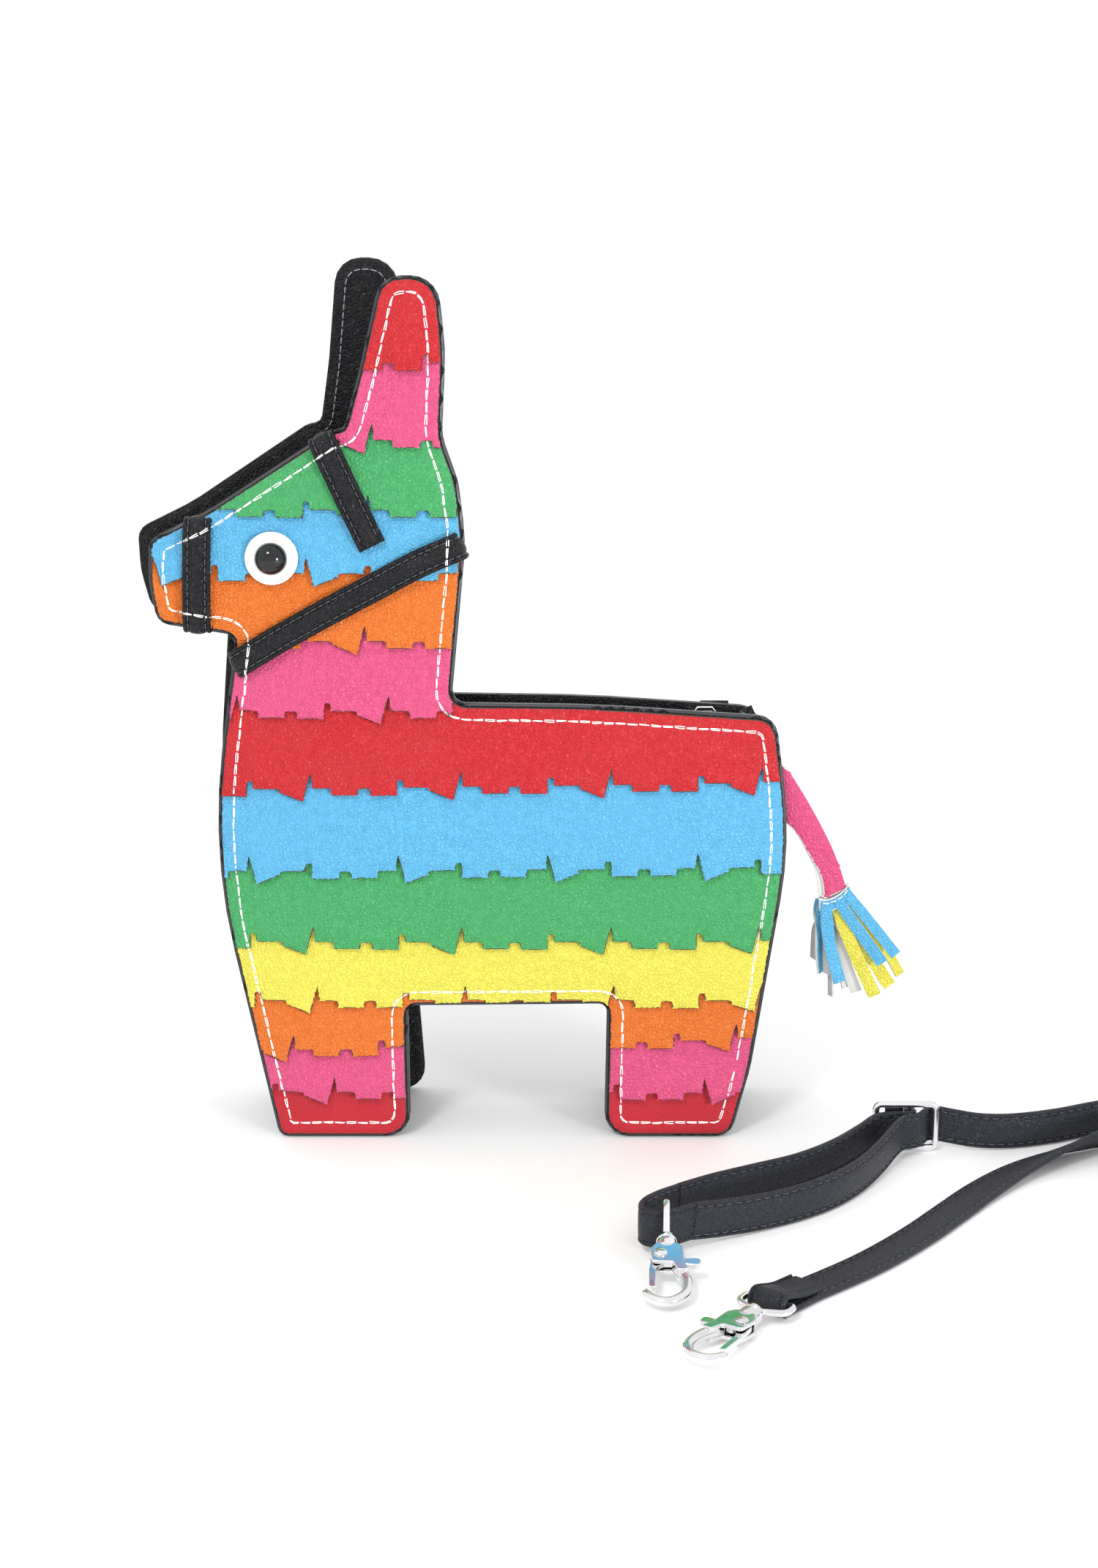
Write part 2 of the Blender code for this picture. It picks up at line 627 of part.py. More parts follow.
def add_zip(bag):
    """Tapes, teeth, stops, and a slider with its puller lying back along the closed zip."""
    for name, side in {"front": -1, "back": 1}.items():
        tape = [(ZIP_START - 3.4, side * ZIP_TAPE_Y), (ZIP_END + 3.2, side * ZIP_TAPE_Y),
                (ZIP_END + 3.2, side * 2.5), (ZIP_START - 3.4, side * 2.5)]
        bag.add("zip_tape_" + name, plate([tape], -1.0, 0.0), "black", None, (0, MIDDLE_Y, ZIP_Z))
        teeth = plate([comb(side, ZIP_START, ZIP_END - 2)], -0.9, 0.9)
        bag.add("zip_teeth_" + name, teeth, "black", None, (0, MIDDLE_Y, ZIP_Z))
    stop = joined(box((-1, -2.2, -1.6), (1, 2.2, 1.6)), box((-1.6, -1.4, -1.5), (1.6, 1.4, 1.5)))
    bag.add("zip_top_stop", stop.copy(), "metal", None, (ZIP_END + 0.4, MIDDLE_Y, ZIP_Z))
    bag.add("zip_bottom_stop", stop, "metal", None, (ZIP_START - 1.95, MIDDLE_Y, ZIP_Z))

    base = 1.2
    body = [(-4.6, -2.6, 1), (-3.0, -3.8, 1), (3.0, -3.8, 1), (4.6, -2.6, 1), (4.6, 2.6, 1), (3.0, 3.8, 1),
            (-3.0, 3.8, 1), (-4.6, 2.6, 1)]
    slab = plate([rounded(body)], base, base + 1.2)
    arch = [(-3.4, 0.0), (-3.4, 2.6), (-2.4, 3.9), (2.4, 3.9), (3.4, 2.6), (3.4, 0.0), (2.1, 0.0),
            (2.1, 2.5), (-2.1, 2.5), (-2.1, 0.0)]
    bridge = plate([arch], -0.7, 0.7)
    bridge.transform(Matrix.Rotation(math.pi / 2, 4, "X"))
    bridge.transform(Matrix.Translation((0, 0, (base + 0.7) * MM)))
    bag.add("zip_slider", joined(slab, bridge), "metal", None, (SLIDER_X, MIDDLE_Y, ZIP_Z))
    hinge = bag.frame("zip_puller_hinge", (SLIDER_X, MIDDLE_Y, ZIP_Z + base + 1.2 + 1.05), (0, 0, 0))
    tab = [(0.6, -2.5, 0.6), (0.6, 2.5, 0.6), (-8.0, 2.5, 2), (-10.0, 3.3, 2), (-22.0, 3.3, 3), (-22.0, -3.3, 3),
           (-10.0, -3.3, 2), (-8.0, -2.5, 2)]
    eye = [(-0.6, -1.3), (-5.4, -1.3), (-5.4, 1.3), (-0.6, 1.3)]
    grip = circle(-17.6, 0, 1.6)
    bag.add("zip_puller", plate([rounded(tab), eye, grip], -0.55, 0.55), "metal", hinge)


def d_outline(width, depth, corner):
    """A D-shaped ring round its straight bar, which lies on the Y axis."""
    half = width / 2
    return [(0, half, 1.2), (depth * 0.45, half, corner), (depth, half * 0.28, corner * 0.6),
            (depth, -half * 0.28, corner * 0.6), (depth * 0.45, -half, corner), (0, -half, 1.2)]


def add_bag_rings(bag):
    """Two D-rings in leather loops on the back, where the strap's hooks clip on."""
    wire_r = BAG_RING_WIRE
    for name, x in BAG_RING_X.items():
        s = BAG_RING_S
        hinge = bag.frame("ring_hinge_" + name, (x, s, -2.7), (0, 0, -math.pi / 2), bag.back)
        line = [(px, py, 0) for px, py in rounded(d_outline(14.0, 12.0, 4.0))]
        bag.add("d_ring_" + name, wire(line, wire_r, closed=True), "metal", hinge)
        side = [(-14.0, 0.0, 0.3), (0.0, 0.0, 1.0), (2.6, 1.2, 1.6), (2.6, 3.9, 1.8), (0.0, 5.0, 1.8),
                (-3.4, 1.7, 3.0), (-14.0, 1.7, 0.3)]
        loop = plate([rounded(side), circle(0, 2.4, wire_r + GAP, 12)], -4.6, 4.6)
        loop.transform(Matrix.Rotation(math.pi / 2, 4, "X"))
        loop.transform(Matrix.Rotation(math.pi, 4, "X"))
        patch = bag.frame("tab_place_" + name, (x, s, -0.3), (0, 0, -math.pi / 2), bag.back)
        bag.add("tab_" + name, loop, "black", patch)


def clasp_body():
    """The hook: a barrel, two cheeks with a slot for the lever, and a round claw."""
    cheeks = [(4.6, -3.0, 1), (7.0, -4.6, 1.5), (14.0, -4.9, 2), (18.2, -6.2, 1), (18.6, -3.0, 1),
              (14.6, -1.6, 1), (14.4, 4.0, 1.5), (8.0, 4.8, 2), (4.6, 3.0, 1)]
    hook = joined(plate([rounded(cheeks)], -2.3, 2.3), rod((0, 0, 0), (6, 0, 0), 3.0))
    claw = smooth_route([(15.6, -3.6, 0), (18.0, -4.7, 0), (22.5, -5.6, 0), (27.5, -4.9, 0), (31.0, -1.2, 0),
                         (30.8, 2.6, 0), (28.6, 5.2, 0), (25.6, 6.1, 0)], 1.9)
    hook = joined(hook, wire(claw, 1.7, sides_level=2))
    slot = [(6.8, -8), (13.7, -8), (13.7, -1.2), (22, -1.2), (22, 8), (6.8, 8)]
    hook = without(hook, plate([slot], -1.1, 1.1), rod((*LEVER_PIN, -4), (*LEVER_PIN, 4), 1.25, 12))
    hole = joined(rod((-1, 0, 0), (2.2, 0, 0), 1.5, 12), rod((1.7, 0, 0), (4.6, 0, 0), 2.3, 12))
    return without(hook, hole)


def clasp_lever():
    """The sprung gate: its arm closes the claw and its thumb tab sticks out behind."""
    px, py = LEVER_PIN
    arm = [(8.0, 1.6, 1.2), (8.6, 4.2, 1.5), (16.0, 5.0, 4), (24.9, 5.0, 1), (25.2, 3.2, 1), (15.0, 2.9, 3),
           (13.2, 0.8, 1), (13.2, -4.6, 0.8), (14.0, -9.6, 1.8), (10.2, -9.6, 1.8), (10.5, -4.6, 0.8),
           (10.5, -0.6, 1)]
    local = [(x - px, y - py, r) for x, y, r in arm]
    return plate([rounded(local), circle(0, 0, 1.25, 12)], -0.8, 0.8)


def clasp_ring():
    """A D-ring with the swivel's stem and head, in one piece."""
    shoulder = RING_BAR + 4.9
    loop = [(RING_BAR, RING_HALF, 1.6), (shoulder, RING_HALF, 3), (-1.5, 1.6, 1.5), (-1.5, -1.6, 1.5),
            (shoulder, -RING_HALF, 3), (RING_BAR, -RING_HALF, 1.6)]
    line = [(x, y, 0) for x, y in rounded(loop)]
    stem = joined(rod((-1.2, 0, 0), (2.4, 0, 0), 1.15, 12), rod((2.1, 0, 0), (3.8, 0, 0), 1.95, 12))
    return joined(wire(line, BAR_R, closed=True), stem)


def add_clasp(bag, number, location, rotation, ring_roll):
    """One swivel hook: ring, body, lever and rivet."""
    place = bag.frame("clasp_%d_place" % number, location, rotation)
    turn = bag.frame("clasp_%d_turn" % number, (0, 0, 0), (ring_roll, 0, 0), place)
    bag.add("clasp_%d_ring" % number, clasp_ring(), "metal", turn)
    bag.add("clasp_%d_hook" % number, clasp_body(), "metal", place)
    bag.add("clasp_%d_lever" % number, clasp_lever(), "metal", place, (*LEVER_PIN, 0))
    rivet = joined(rod((0, 0, -2.9), (0, 0, 2.9), 0.95, 12), rod((0, 0, -3.2), (0, 0, -2.6), 1.9, 12),
                   rod((0, 0, 2.6), (0, 0, 3.2), 1.9, 12))
    bag.add("clasp_%d_rivet" % number, rivet, "metal", place, (*LEVER_PIN, 0))


def add_buckle(bag):
    """The slider: a frame on edge round the strap, with a centre bar."""
    half, tall = BUCKLE_HALF
    frame = [(-half, -tall, 2), (-half, tall, 2), (half, tall, 2), (half, -tall, 2)]
    line = [(x, z, 0) for x, z in rounded(frame)]
    body = joined(wire(line, 1.1, closed=True), rod((0, -tall, 0), (0, tall, 0), BAR_R, 12))
    bag.add("buckle", body, "metal", None, BUCKLE_AT, (math.pi / 2, 0, 0))


def smooth_rolls(route, rolls, points):
    """The roll at each point, read from the nearest stretch of the route."""
    values = []
    for point in points:
        best = None
        for i in range(len(route) - 1):
            a, b = Vector(route[i]), Vector(route[i + 1])
            part = max(0.0, min(1.0, (point - a).dot(b - a) / (b - a).length_squared))
            off = (a.lerp(b, part) - point).length
            if best is None or off < best[0]:
                best = (off, rolls[i] + (rolls[i + 1] - rolls[i]) * part)
        values.append(best[1])
    return values


# The strap's middle line: from clasp 1 to the buckle, from clasp 1 through the buckle to the coil,
# and from clasp 2 to the coil
ADJUSTER = [(49.4, -107.6, 8.3), (43.8, -112.0, 8.5), (38.9, -113.8, 8.6), (35.1, -110.9, 8.6),
            (35.6, -105.0, 8.5), (39.6, -98.8, 8.2), (46.5, -90.0, 6.9), (57.0, -80.8, 6.2),
            (70.0, -72.9, 6.1), (84.0, -64.6, 6.1), (96.0, -54.0, 6.3), (105.5, -43.0, 6.9),
            (111.6, -36.9, 8.1), (117.5, -35.9, 8.5), (121.3, -35.9, 8.5)]
MAIN = [(50.2, -107.1, 8.3), (60.0, -101.4, 6.9), (72.0, -95.0, 6.2), (84.0, -87.6, 6.1),
        (94.5, -78.6, 6.1), (103.5, -67.4, 6.3), (111.0, -55.0, 7.1), (116.0, -45.5, 8.1),
        (119.4, -39.8, 8.5), (122.4, -38.4, 8.5), (124.9, -37.0, 8.5), (126.9, -34.0, 8.5),
        (128.3, -31.3, 8.4), (131.0, -30.2, 8.2), (136.0, -30.9, 7.5), (145.0, -32.3, 6.5),
        (156.0, -31.4, 6.1), (170.0, -27.2, 6.1), (185.0, -20.2, 6.1), (200.0, -15.2, 6.1),
        (215.0, -13.3, 6.1), (231.0, -13.0, 6.1)]
FREE = [(79.6, -139.2, 1.3), (96.0, -124.3, 1.3), (107.5, -112.0, 1.3), (118.5, -98.5, 1.3),
        (128.0, -85.5, 1.3), (140.0, -69.5, 1.6), (153.5, -55.0, 2.2), (167.5, -44.2, 3.2),
        (181.0, -36.5, 4.3), (194.0, -29.8, 5.3), (205.0, -24.0, 6.1), (213.5, -19.9, 6.1),
        (221.0, -17.7, 6.1)]
FREE_ROLLS = [90, 90, 90, 90, 90, 90, 84, 74, 62, 44, 24, 0, 0]  # flat at the hook, on edge at the coil


def turned_end():
    """The buckle's end of the adjuster: half round the centre bar and a short way back."""
    x, y, z = BUCKLE_AT
    turns = [math.radians(d) for d in range(30, 181, 30)]
    bend = [(x + FOLD_R * math.sin(a), y - FOLD_R * math.cos(a), z) for a in turns]
    return bend + [(x - 2.9, y + 2.3, z), (x - 6.3, y + 2.2, z)]


def turned_start():
    """The free end at clasp 2: a short tail on top, which goes round the ring's bar and under it."""
    (x, y, z), (_, _, heading), _ = CLASP_2
    c, s = math.cos(heading), math.sin(heading)

    def place(along, height):
        return x + c * (RING_BAR - along), y + s * (RING_BAR - along), z + height

    tail_height = STRAP_THICK + GAP - FOLD_R
    path = [place(FOLD_TAIL, tail_height), place(FOLD_TAIL * 0.55, tail_height)]
    path.append(place(FOLD_R * 0.9, FOLD_R * 0.8))
    for degrees in range(90, -91, -30):
        turn = math.radians(degrees)
        path.append(place(-FOLD_R * math.cos(turn), FOLD_R * math.sin(turn)))
    return path


def add_strap(bag):
    """The strap: an adjuster loop, the run through the buckle, the free end, and the rest wound up."""
    adjuster = smooth_route(ADJUSTER, 4.5) + turned_end()
    main_run = smooth_route(MAIN, 5.0)
    for name, points in {"strap_adjuster": adjuster, "strap_main": main_run}.items():
        bag.add(name, ribbon(points, STRAP_WIDTH, STRAP_THICK, [0] * len(points)), "strap")

    start, run = turned_start(), smooth_route(FREE, 10.0)
    rolls = [90] * len(start) + smooth_rolls(FREE, FREE_ROLLS, run)
    bag.add("strap_free", ribbon(start + run, STRAP_WIDTH, STRAP_THICK, rolls, "MINIMUM"), "strap")

    bm = bmesh.new()
    bmesh.ops.create_cone(bm, cap_ends=True, segments=48, radius1=COIL_R * MM, radius2=COIL_R * MM,
                          depth=COIL_TALL * MM)
    coil = bpy.data.meshes.new("coil")
    bm.to_mesh(coil)
    bm.free()
    bag.add("strap_coil", coil, "strap", None, (*COIL_AT, COIL_TALL / 2))


def main():
    bag = Bag()
    add_panels(bag)
    add_gussets(bag)
    add_linings(bag)
    add_strips(bag)
    add_bridle(bag)
    add_eye(bag)
    add_tail(bag)
    add_zip(bag)
    add_bag_rings(bag)
    add_clasp(bag, 1, *CLASP_1)
    add_clasp(bag, 2, *CLASP_2)
    add_buckle(bag)
    add_strap(bag)


main()
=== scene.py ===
"""The looks of the donkey-shaped party bag: leather, stitches, fringes, bridle, eye, tail, zip and strap.

Lengths are in millimetres until they become points. A point on one side of the bag is (x, s, h): x along
the bag, s up the leaning panel, and h out from the panel's outer face.
"""
import math
import random

import bmesh
import bpy
import numpy as np
from mathutils import Matrix, Vector, noise
from mathutils.bvhtree import BVHTree
from mathutils.geometry import delaunay_2d_cdt


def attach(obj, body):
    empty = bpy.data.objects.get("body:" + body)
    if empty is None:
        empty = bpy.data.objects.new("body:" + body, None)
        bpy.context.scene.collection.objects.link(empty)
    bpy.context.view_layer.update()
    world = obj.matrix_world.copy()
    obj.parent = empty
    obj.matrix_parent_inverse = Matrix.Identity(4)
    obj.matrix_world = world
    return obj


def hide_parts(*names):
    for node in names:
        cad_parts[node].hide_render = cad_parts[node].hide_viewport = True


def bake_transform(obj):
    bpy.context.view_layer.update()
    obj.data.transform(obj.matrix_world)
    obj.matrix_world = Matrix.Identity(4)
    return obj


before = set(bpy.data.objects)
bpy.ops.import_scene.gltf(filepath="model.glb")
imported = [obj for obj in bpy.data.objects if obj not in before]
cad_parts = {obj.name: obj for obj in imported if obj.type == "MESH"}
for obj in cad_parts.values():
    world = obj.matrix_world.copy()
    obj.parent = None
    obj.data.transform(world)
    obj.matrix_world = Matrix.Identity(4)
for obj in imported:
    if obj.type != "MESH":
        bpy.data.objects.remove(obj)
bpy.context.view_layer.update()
SCENE = bpy.context.scene
MM = 0.001
RANDOM = random.Random(7)

PANEL = 3.0  # thickness of each panel
LEAN = math.radians(2.9)
LIFT = PANEL * math.sin(LEAN)
EAR_FOOT = 212  # how far up a panel its ear begins
RING_ROW = 121.0  # how far up the back the strap rings hinge
RING_PLACES = {"neck": -12.0, "rump": 62.0}


class Side:
    """One leaning side of the bag; out is +1 where its own z points away from the bag."""

    def __init__(self, y, tilt, out):
        place = Matrix.Translation((0, y * MM, LIFT * MM))
        self.matrix = place @ Matrix.Rotation(math.pi / 2 + tilt, 4, "X")
        self.inverse = self.matrix.inverted()
        self.out = out

    def at(self, x, s, h=0.0):
        return self.matrix @ Vector((x * MM, s * MM, self.out * h * MM))

    def of(self, point):
        p = self.inverse @ Vector(point)
        return p.x / MM, p.y / MM, self.out * p.z / MM

    def normal(self):
        return (self.matrix.to_3x3() @ Vector((0, 0, self.out))).normalized()


FRONT = Side(-21.6, -LEAN, 1)
BACK = Side(24.4, LEAN, -1)


# Camera

def add_camera():
    """A view from just above the bag's ears, looking down at it a little."""
    aim = Vector((0.00842, -0.023, 0.11752))
    distance, elevation = 0.8, math.radians(14.0)
    data = bpy.data.cameras.new("camera")
    data.sensor_width = 36.0
    data.lens = 59.135
    data.clip_start = 0.01
    camera = bpy.data.objects.new("camera", data)
    camera.location = aim + distance * Vector((0, -math.cos(elevation), math.sin(elevation)))
    camera.rotation_euler = (math.pi / 2 - elevation, 0, 0)
    SCENE.collection.objects.link(camera)
    SCENE.camera = camera


# Materials

class Nodes:
    """A short way to write node trees."""

    def __init__(self, name):
        self.material = bpy.data.materials.new(name)
        self.material.use_nodes = True
        self.tree = self.material.node_tree
        self.shader = self.tree.nodes["Principled BSDF"]
        self.place = self.add("TexCoord").outputs["Object"]

    def add(self, kind, **settings):
        node = self.tree.nodes.new("ShaderNode" + kind)
        for key, value in settings.items():
            setattr(node, key, value)
        return node

    def link(self, source, target):
        self.tree.links.new(source, target)

    def value(self, socket, value):
        if isinstance(value, bpy.types.NodeSocket):
            self.link(value, socket)
        else:
            socket.default_value = value

    def math(self, operation, a, b=0.0):
        node = self.add("Math", operation=operation)
        self.value(node.inputs[0], a)
        self.value(node.inputs[1], b)
        return node.outputs[0]

    def ramp(self, fac, low, high, to_low=0.0, to_high=1.0):
        node = self.add("MapRange", interpolation_type="SMOOTHSTEP")
        self.value(node.inputs["Value"], fac)
        for key, value in {"From Min": low, "From Max": high, "To Min": to_low, "To Max": to_high}.items():
            node.inputs[key].default_value = value
        return node.outputs["Result"]

    def noise(self, scale, detail=3.0):
        node = self.add("TexNoise")
        self.link(self.place, node.inputs["Vector"])
        node.inputs["Scale"].default_value = scale
        node.inputs["Detail"].default_value = detail
        return node

    def mix(self, fac, a, b):
        node = self.add("Mix", data_type="RGBA")
        self.value(node.inputs["Factor"], fac)
        for socket, value in ((node.inputs["A"], a), (node.inputs["B"], b)):
            self.value(socket, (*value, 1) if isinstance(value, tuple) else value)
        return node.outputs["Result"]

    def bump(self, height, strength, distance):
        node = self.add("Bump")
        self.link(height, node.inputs["Height"])
        node.inputs["Strength"].default_value = strength
        node.inputs["Distance"].default_value = distance
        self.link(node.outputs["Normal"], self.shader.inputs["Normal"])


def shade(colour, factor):
    return tuple(min(1.0, c * factor) for c in colour)


def leather(name, colour, grain=1.0, pebble=1.15, gloss=0.33, crease_shade_tone=0.86, shine=0.28):
    """Pebbled coated leather: rounded grains a millimetre across, parted by fine creases with painted shade
    in them.
    """
    n = Nodes(name)
    wobble = n.noise(420, 2.0)
    shifted = n.add("Mix", data_type="VECTOR")
    shifted.inputs["Factor"].default_value = 0.0011
    n.link(n.place, shifted.inputs["A"])
    n.link(wobble.outputs["Color"], shifted.inputs["B"])
    cells = n.add("TexVoronoi", feature="DISTANCE_TO_EDGE")
    n.link(shifted.outputs["Result"], cells.inputs["Vector"])
    cells.inputs["Scale"].default_value = 1000 / pebble
    dome = n.ramp(cells.outputs["Distance"], 0.0, 0.34)
    fine = n.noise(2600, 3.0)
    worn = n.noise(38, 3.0)
    height = n.math("ADD", dome, n.math("MULTIPLY", fine.outputs["Fac"], 0.07))
    depth = n.math("MULTIPLY", height, n.ramp(worn.outputs["Fac"], 0.3, 0.7, 0.65, 1.0))
    n.bump(depth, 0.85 * grain, 0.00042)
    cloud = n.mix(n.ramp(worn.outputs["Fac"], 0.35, 0.7), shade(colour, 0.93), shade(colour, 1.05))
    # Painted shade: the colour darkens towards each crease between the grains.
    crease_shade_mask = n.ramp(cells.outputs["Distance"], 0.0, 0.12)
    n.link(n.mix(crease_shade_mask, n.mix(1.0, shade(colour, crease_shade_tone), shade(colour, crease_shade_tone)), cloud),
           n.shader.inputs["Base Color"])
    rough = n.ramp(fine.outputs["Fac"], 0.3, 0.7, gloss - 0.05, gloss + 0.1)
    n.link(rough, n.shader.inputs["Roughness"])
    n.shader.inputs["Specular IOR Level"].default_value = shine
    return n.material


def plain(name, colour, rough, metallic=0.0, scale=900.0, strength=0.1):
    """A moulded, cut or painted surface with a fine irregular finish."""
    n = Nodes(name)
    speck = n.noise(scale, 3.0)
    broad = n.noise(45, 3.0)
    n.bump(speck.outputs["Fac"], strength, 0.00015)
    n.link(n.mix(n.ramp(broad.outputs["Fac"], 0.3, 0.7), shade(colour, 0.88), shade(colour, 1.06)),
           n.shader.inputs["Base Color"])
    n.link(n.ramp(speck.outputs["Fac"], 0.3, 0.7, max(0.02, rough - 0.05), rough + 0.05),
           n.shader.inputs["Roughness"])
    n.shader.inputs["Metallic"].default_value = metallic
    return n.material


def woven(name, colour, pitch=0.45):
    """Plain-woven cloth: two sets of threads over and under each other."""
    n = Nodes(name)
    split = n.add("SeparateXYZ")
    n.link(n.place, split.inputs[0])
    turns = 2000 * math.pi / pitch
    a = n.math("SINE", n.math("MULTIPLY", split.outputs["X"], turns))
    b = n.math("SINE", n.math("MULTIPLY", n.math("ADD", split.outputs["Y"], split.outputs["Z"]), turns))
    over = n.math("MULTIPLY", a, b)
    n.bump(over, 0.8, 0.00012)
    # Painted light and shade: the colour follows the weave's relief, lighter where a thread passes over and
    # darker where it dips under.
    tone = n.ramp(over, -0.6, 0.6)
    n.link(n.mix(tone, shade(colour, 0.7), shade(colour, 1.15)), n.shader.inputs["Base Color"])
    n.shader.inputs["Roughness"].default_value = 0.85
    n.shader.inputs["Sheen Weight"].default_value = 0.15
    return n.material


def thread(name, colour, rough):
    """Twisted sewing thread."""
    n = Nodes(name)
    fibres = n.noise(5200, 2.0)
    n.bump(fibres.outputs["Fac"], 0.5, 0.00012)
    tone = n.mix(fibres.outputs["Fac"], shade(colour, 0.8), shade(colour, 1.08))
    n.link(tone, n.shader.inputs["Base Color"])
    n.shader.inputs["Roughness"].default_value = rough
    return n.material


COLOURS = {
    "red": (0.66, 0.022, 0.03),
    "deep_red": (0.56, 0.02, 0.035),
    "pink": (0.83, 0.1, 0.26),
    "green": (0.075, 0.45, 0.15),
    "blue": (0.13, 0.52, 0.85),
    "orange": (0.88, 0.2, 0.025),
    "yellow": (0.93, 0.85, 0.11),
}
COLOURS = {name: tuple(c * 0.78 for c in colour) for name, colour in COLOURS.items()}
M = {name: leather("leather_" + name, colour) for name, colour in COLOURS.items()}
M["deep_red"] = leather("leather_deep_red", COLOURS["deep_red"], 0.45, 1.0, 0.45, 0.95)
M["black"] = leather("leather_black", (0.008, 0.0085, 0.0105), 1.2, 1.2, 0.36, 0.6, 0.28)
M["strap"] = leather("leather_strap", (0.015, 0.017, 0.026), 0.9, 0.8, 0.4, 0.6, 0.36)
# The dark brown of the strips' cut edges, also laid as a thin line along their upper faces, where it is
# partly painted shadow.
M["raw"] = plain("cut_edge_and_shadow", (0.06, 0.04, 0.03), 0.8, strength=0.4)
M["paint"] = plain("edge_paint", (0.03, 0.032, 0.038), 0.4, scale=500, strength=0.35)
M["suede"] = plain("flesh_side", (0.62, 0.62, 0.6), 0.85, scale=1600, strength=0.5)
M["lining"] = woven("lining_cloth", (0.04, 0.04, 0.045))
M["tape"] = woven("zip_tape_cloth", (0.014, 0.014, 0.017), 0.6)
M["nylon"] = plain("zip_nylon", (0.012, 0.012, 0.014), 0.35)
M["white_thread"] = thread("white_thread", (0.9, 0.9, 0.88), 0.6)
M["black_thread"] = thread("black_thread", (0.075, 0.078, 0.09), 0.3)
# Painted highlight: a grey copy of the black thread, for the glints on the black stitches inside the back
# panel.
M["painted_glint_thread"] = thread("painted_glint_thread", (0.3, 0.31, 0.33), 0.4)
M["eye_white"] = plain("eye_white", (0.9, 0.9, 0.88), 0.5, scale=700, strength=0.12)
M["eye_black"] = plain("eye_black", (0.006, 0.006, 0.007), 0.08, scale=60, strength=0.01)
M["washer"] = plain("washer_plastic", (0.8, 0.8, 0.78), 0.5)
M["metal"] = plain("polished_metal", (0.82, 0.82, 0.83), 0.13, metallic=1.0, scale=250, strength=0.03)


# Pieces

def finish(thing, body, replaced=()):
    """Puts a piece on its body and hides the CAD nodes it stands for."""
    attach(thing, body)
    if replaced:
        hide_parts(*replaced)
    return thing


def make(name, verts, faces, materials, face_materials=None, sharp=50):
    mesh = bpy.data.meshes.new(name)
    mesh.from_pydata([tuple(v) for v in verts], [], faces)
    for material in materials:
        mesh.materials.append(material)
    if face_materials is not None:
        mesh.polygons.foreach_set("material_index", face_materials)
    bm = bmesh.new()
    bm.from_mesh(mesh)
    bmesh.ops.recalc_face_normals(bm, faces=bm.faces)
    bm.to_mesh(mesh)
    bm.free()
    mesh.shade_smooth()
    mesh.set_sharp_from_angle(angle=math.radians(sharp))
    thing = bpy.data.objects.new(name, mesh)
    SCENE.collection.objects.link(thing)
    return thing


def smooth_route(points, step):
    """A smooth curve through given points, read every step millimetres."""
    count = len(points)
    fine = []
    for i in range(count - 1):
        p0, p1 = Vector(points[max(i - 1, 0)]), Vector(points[i])
        p2, p3 = Vector(points[i + 1]), Vector(points[min(i + 2, count - 1)])
        for j in range(20):
            t = j / 20
            fine.append(0.5 * ((2 * p1) + (p2 - p0) * t + (2 * p0 - 5 * p1 + 4 * p2 - p3) * t * t
                               + (3 * p1 - p0 - 3 * p2 + p3) * t ** 3))
    fine.append(Vector(points[-1]))
    return even(fine, step)


def lengths_of(line):
    totals = [0.0]
    for a, b in zip(line, line[1:]):
        totals.append(totals[-1] + (Vector(b) - Vector(a)).length)
    return totals


def heading(line, i, closed=False):
    """The direction of a line at its point i."""
    count = len(line)
    if closed:
        return (line[(i + 1) % count] - line[i - 1]).normalized()
    return (line[min(i + 1, count - 1)] - line[max(i - 1, 0)]).normalized()


def flat_route(points, step):
    """A smooth curve through flat points, as (x, y) pairs."""
    return [(p.x, p.y) for p in smooth_route([(*p, 0) for p in points], step)]


def tube_faces(count, size, closed=False, base=0):
    """The faces between count rings of size points, with a cap at each end if the tube isn't closed."""
    faces = []
    for i in range(count if closed else count - 1):
        row, after = base + i * size, base + (i + 1) % count * size
        faces += [(row + j, row + (j + 1) % size, after + (j + 1) % size, after + j) for j in range(size)]
    if not closed:
        last = base + (count - 1) * size
        faces += [tuple(range(base, base + size)), tuple(range(last, last + size))[::-1]]
    return faces


def even(line, step, pieces=None):
    """The same line with evenly spaced points."""
    totals = lengths_of(line)
    pieces = pieces or max(1, round(totals[-1] / step))
    wanted = np.linspace(0, totals[-1], pieces + 1)
    columns = np.array([tuple(p) for p in line], float)
    return [Vector(row) for row in np.stack([np.interp(wanted, totals, c) for c in columns.T], axis=1)]


def sweep(name, centres, ups, profile, material, sharp=60):
    """A profile of (across, up) points carried along a line; ups need only be roughly square to it."""
    verts = []
    for i, centre in enumerate(centres):
        tangent = heading(centres, i)
        across = tangent.cross(ups[i]).normalized()
        up = across.cross(tangent)
        verts += [(centre + across * a + up * b) * MM for a, b in profile]
    return make(name, verts, tube_faces(len(centres), len(profile)), [material], sharp=sharp)


# Strap and its cords

STRAP_WIDTH = 11.6
STRAP_THICK = 2.0
FOLD_R = 2.4  # middle of the strap round a bar
GROOVE = 4.35  # stitch lines from the strap's middle

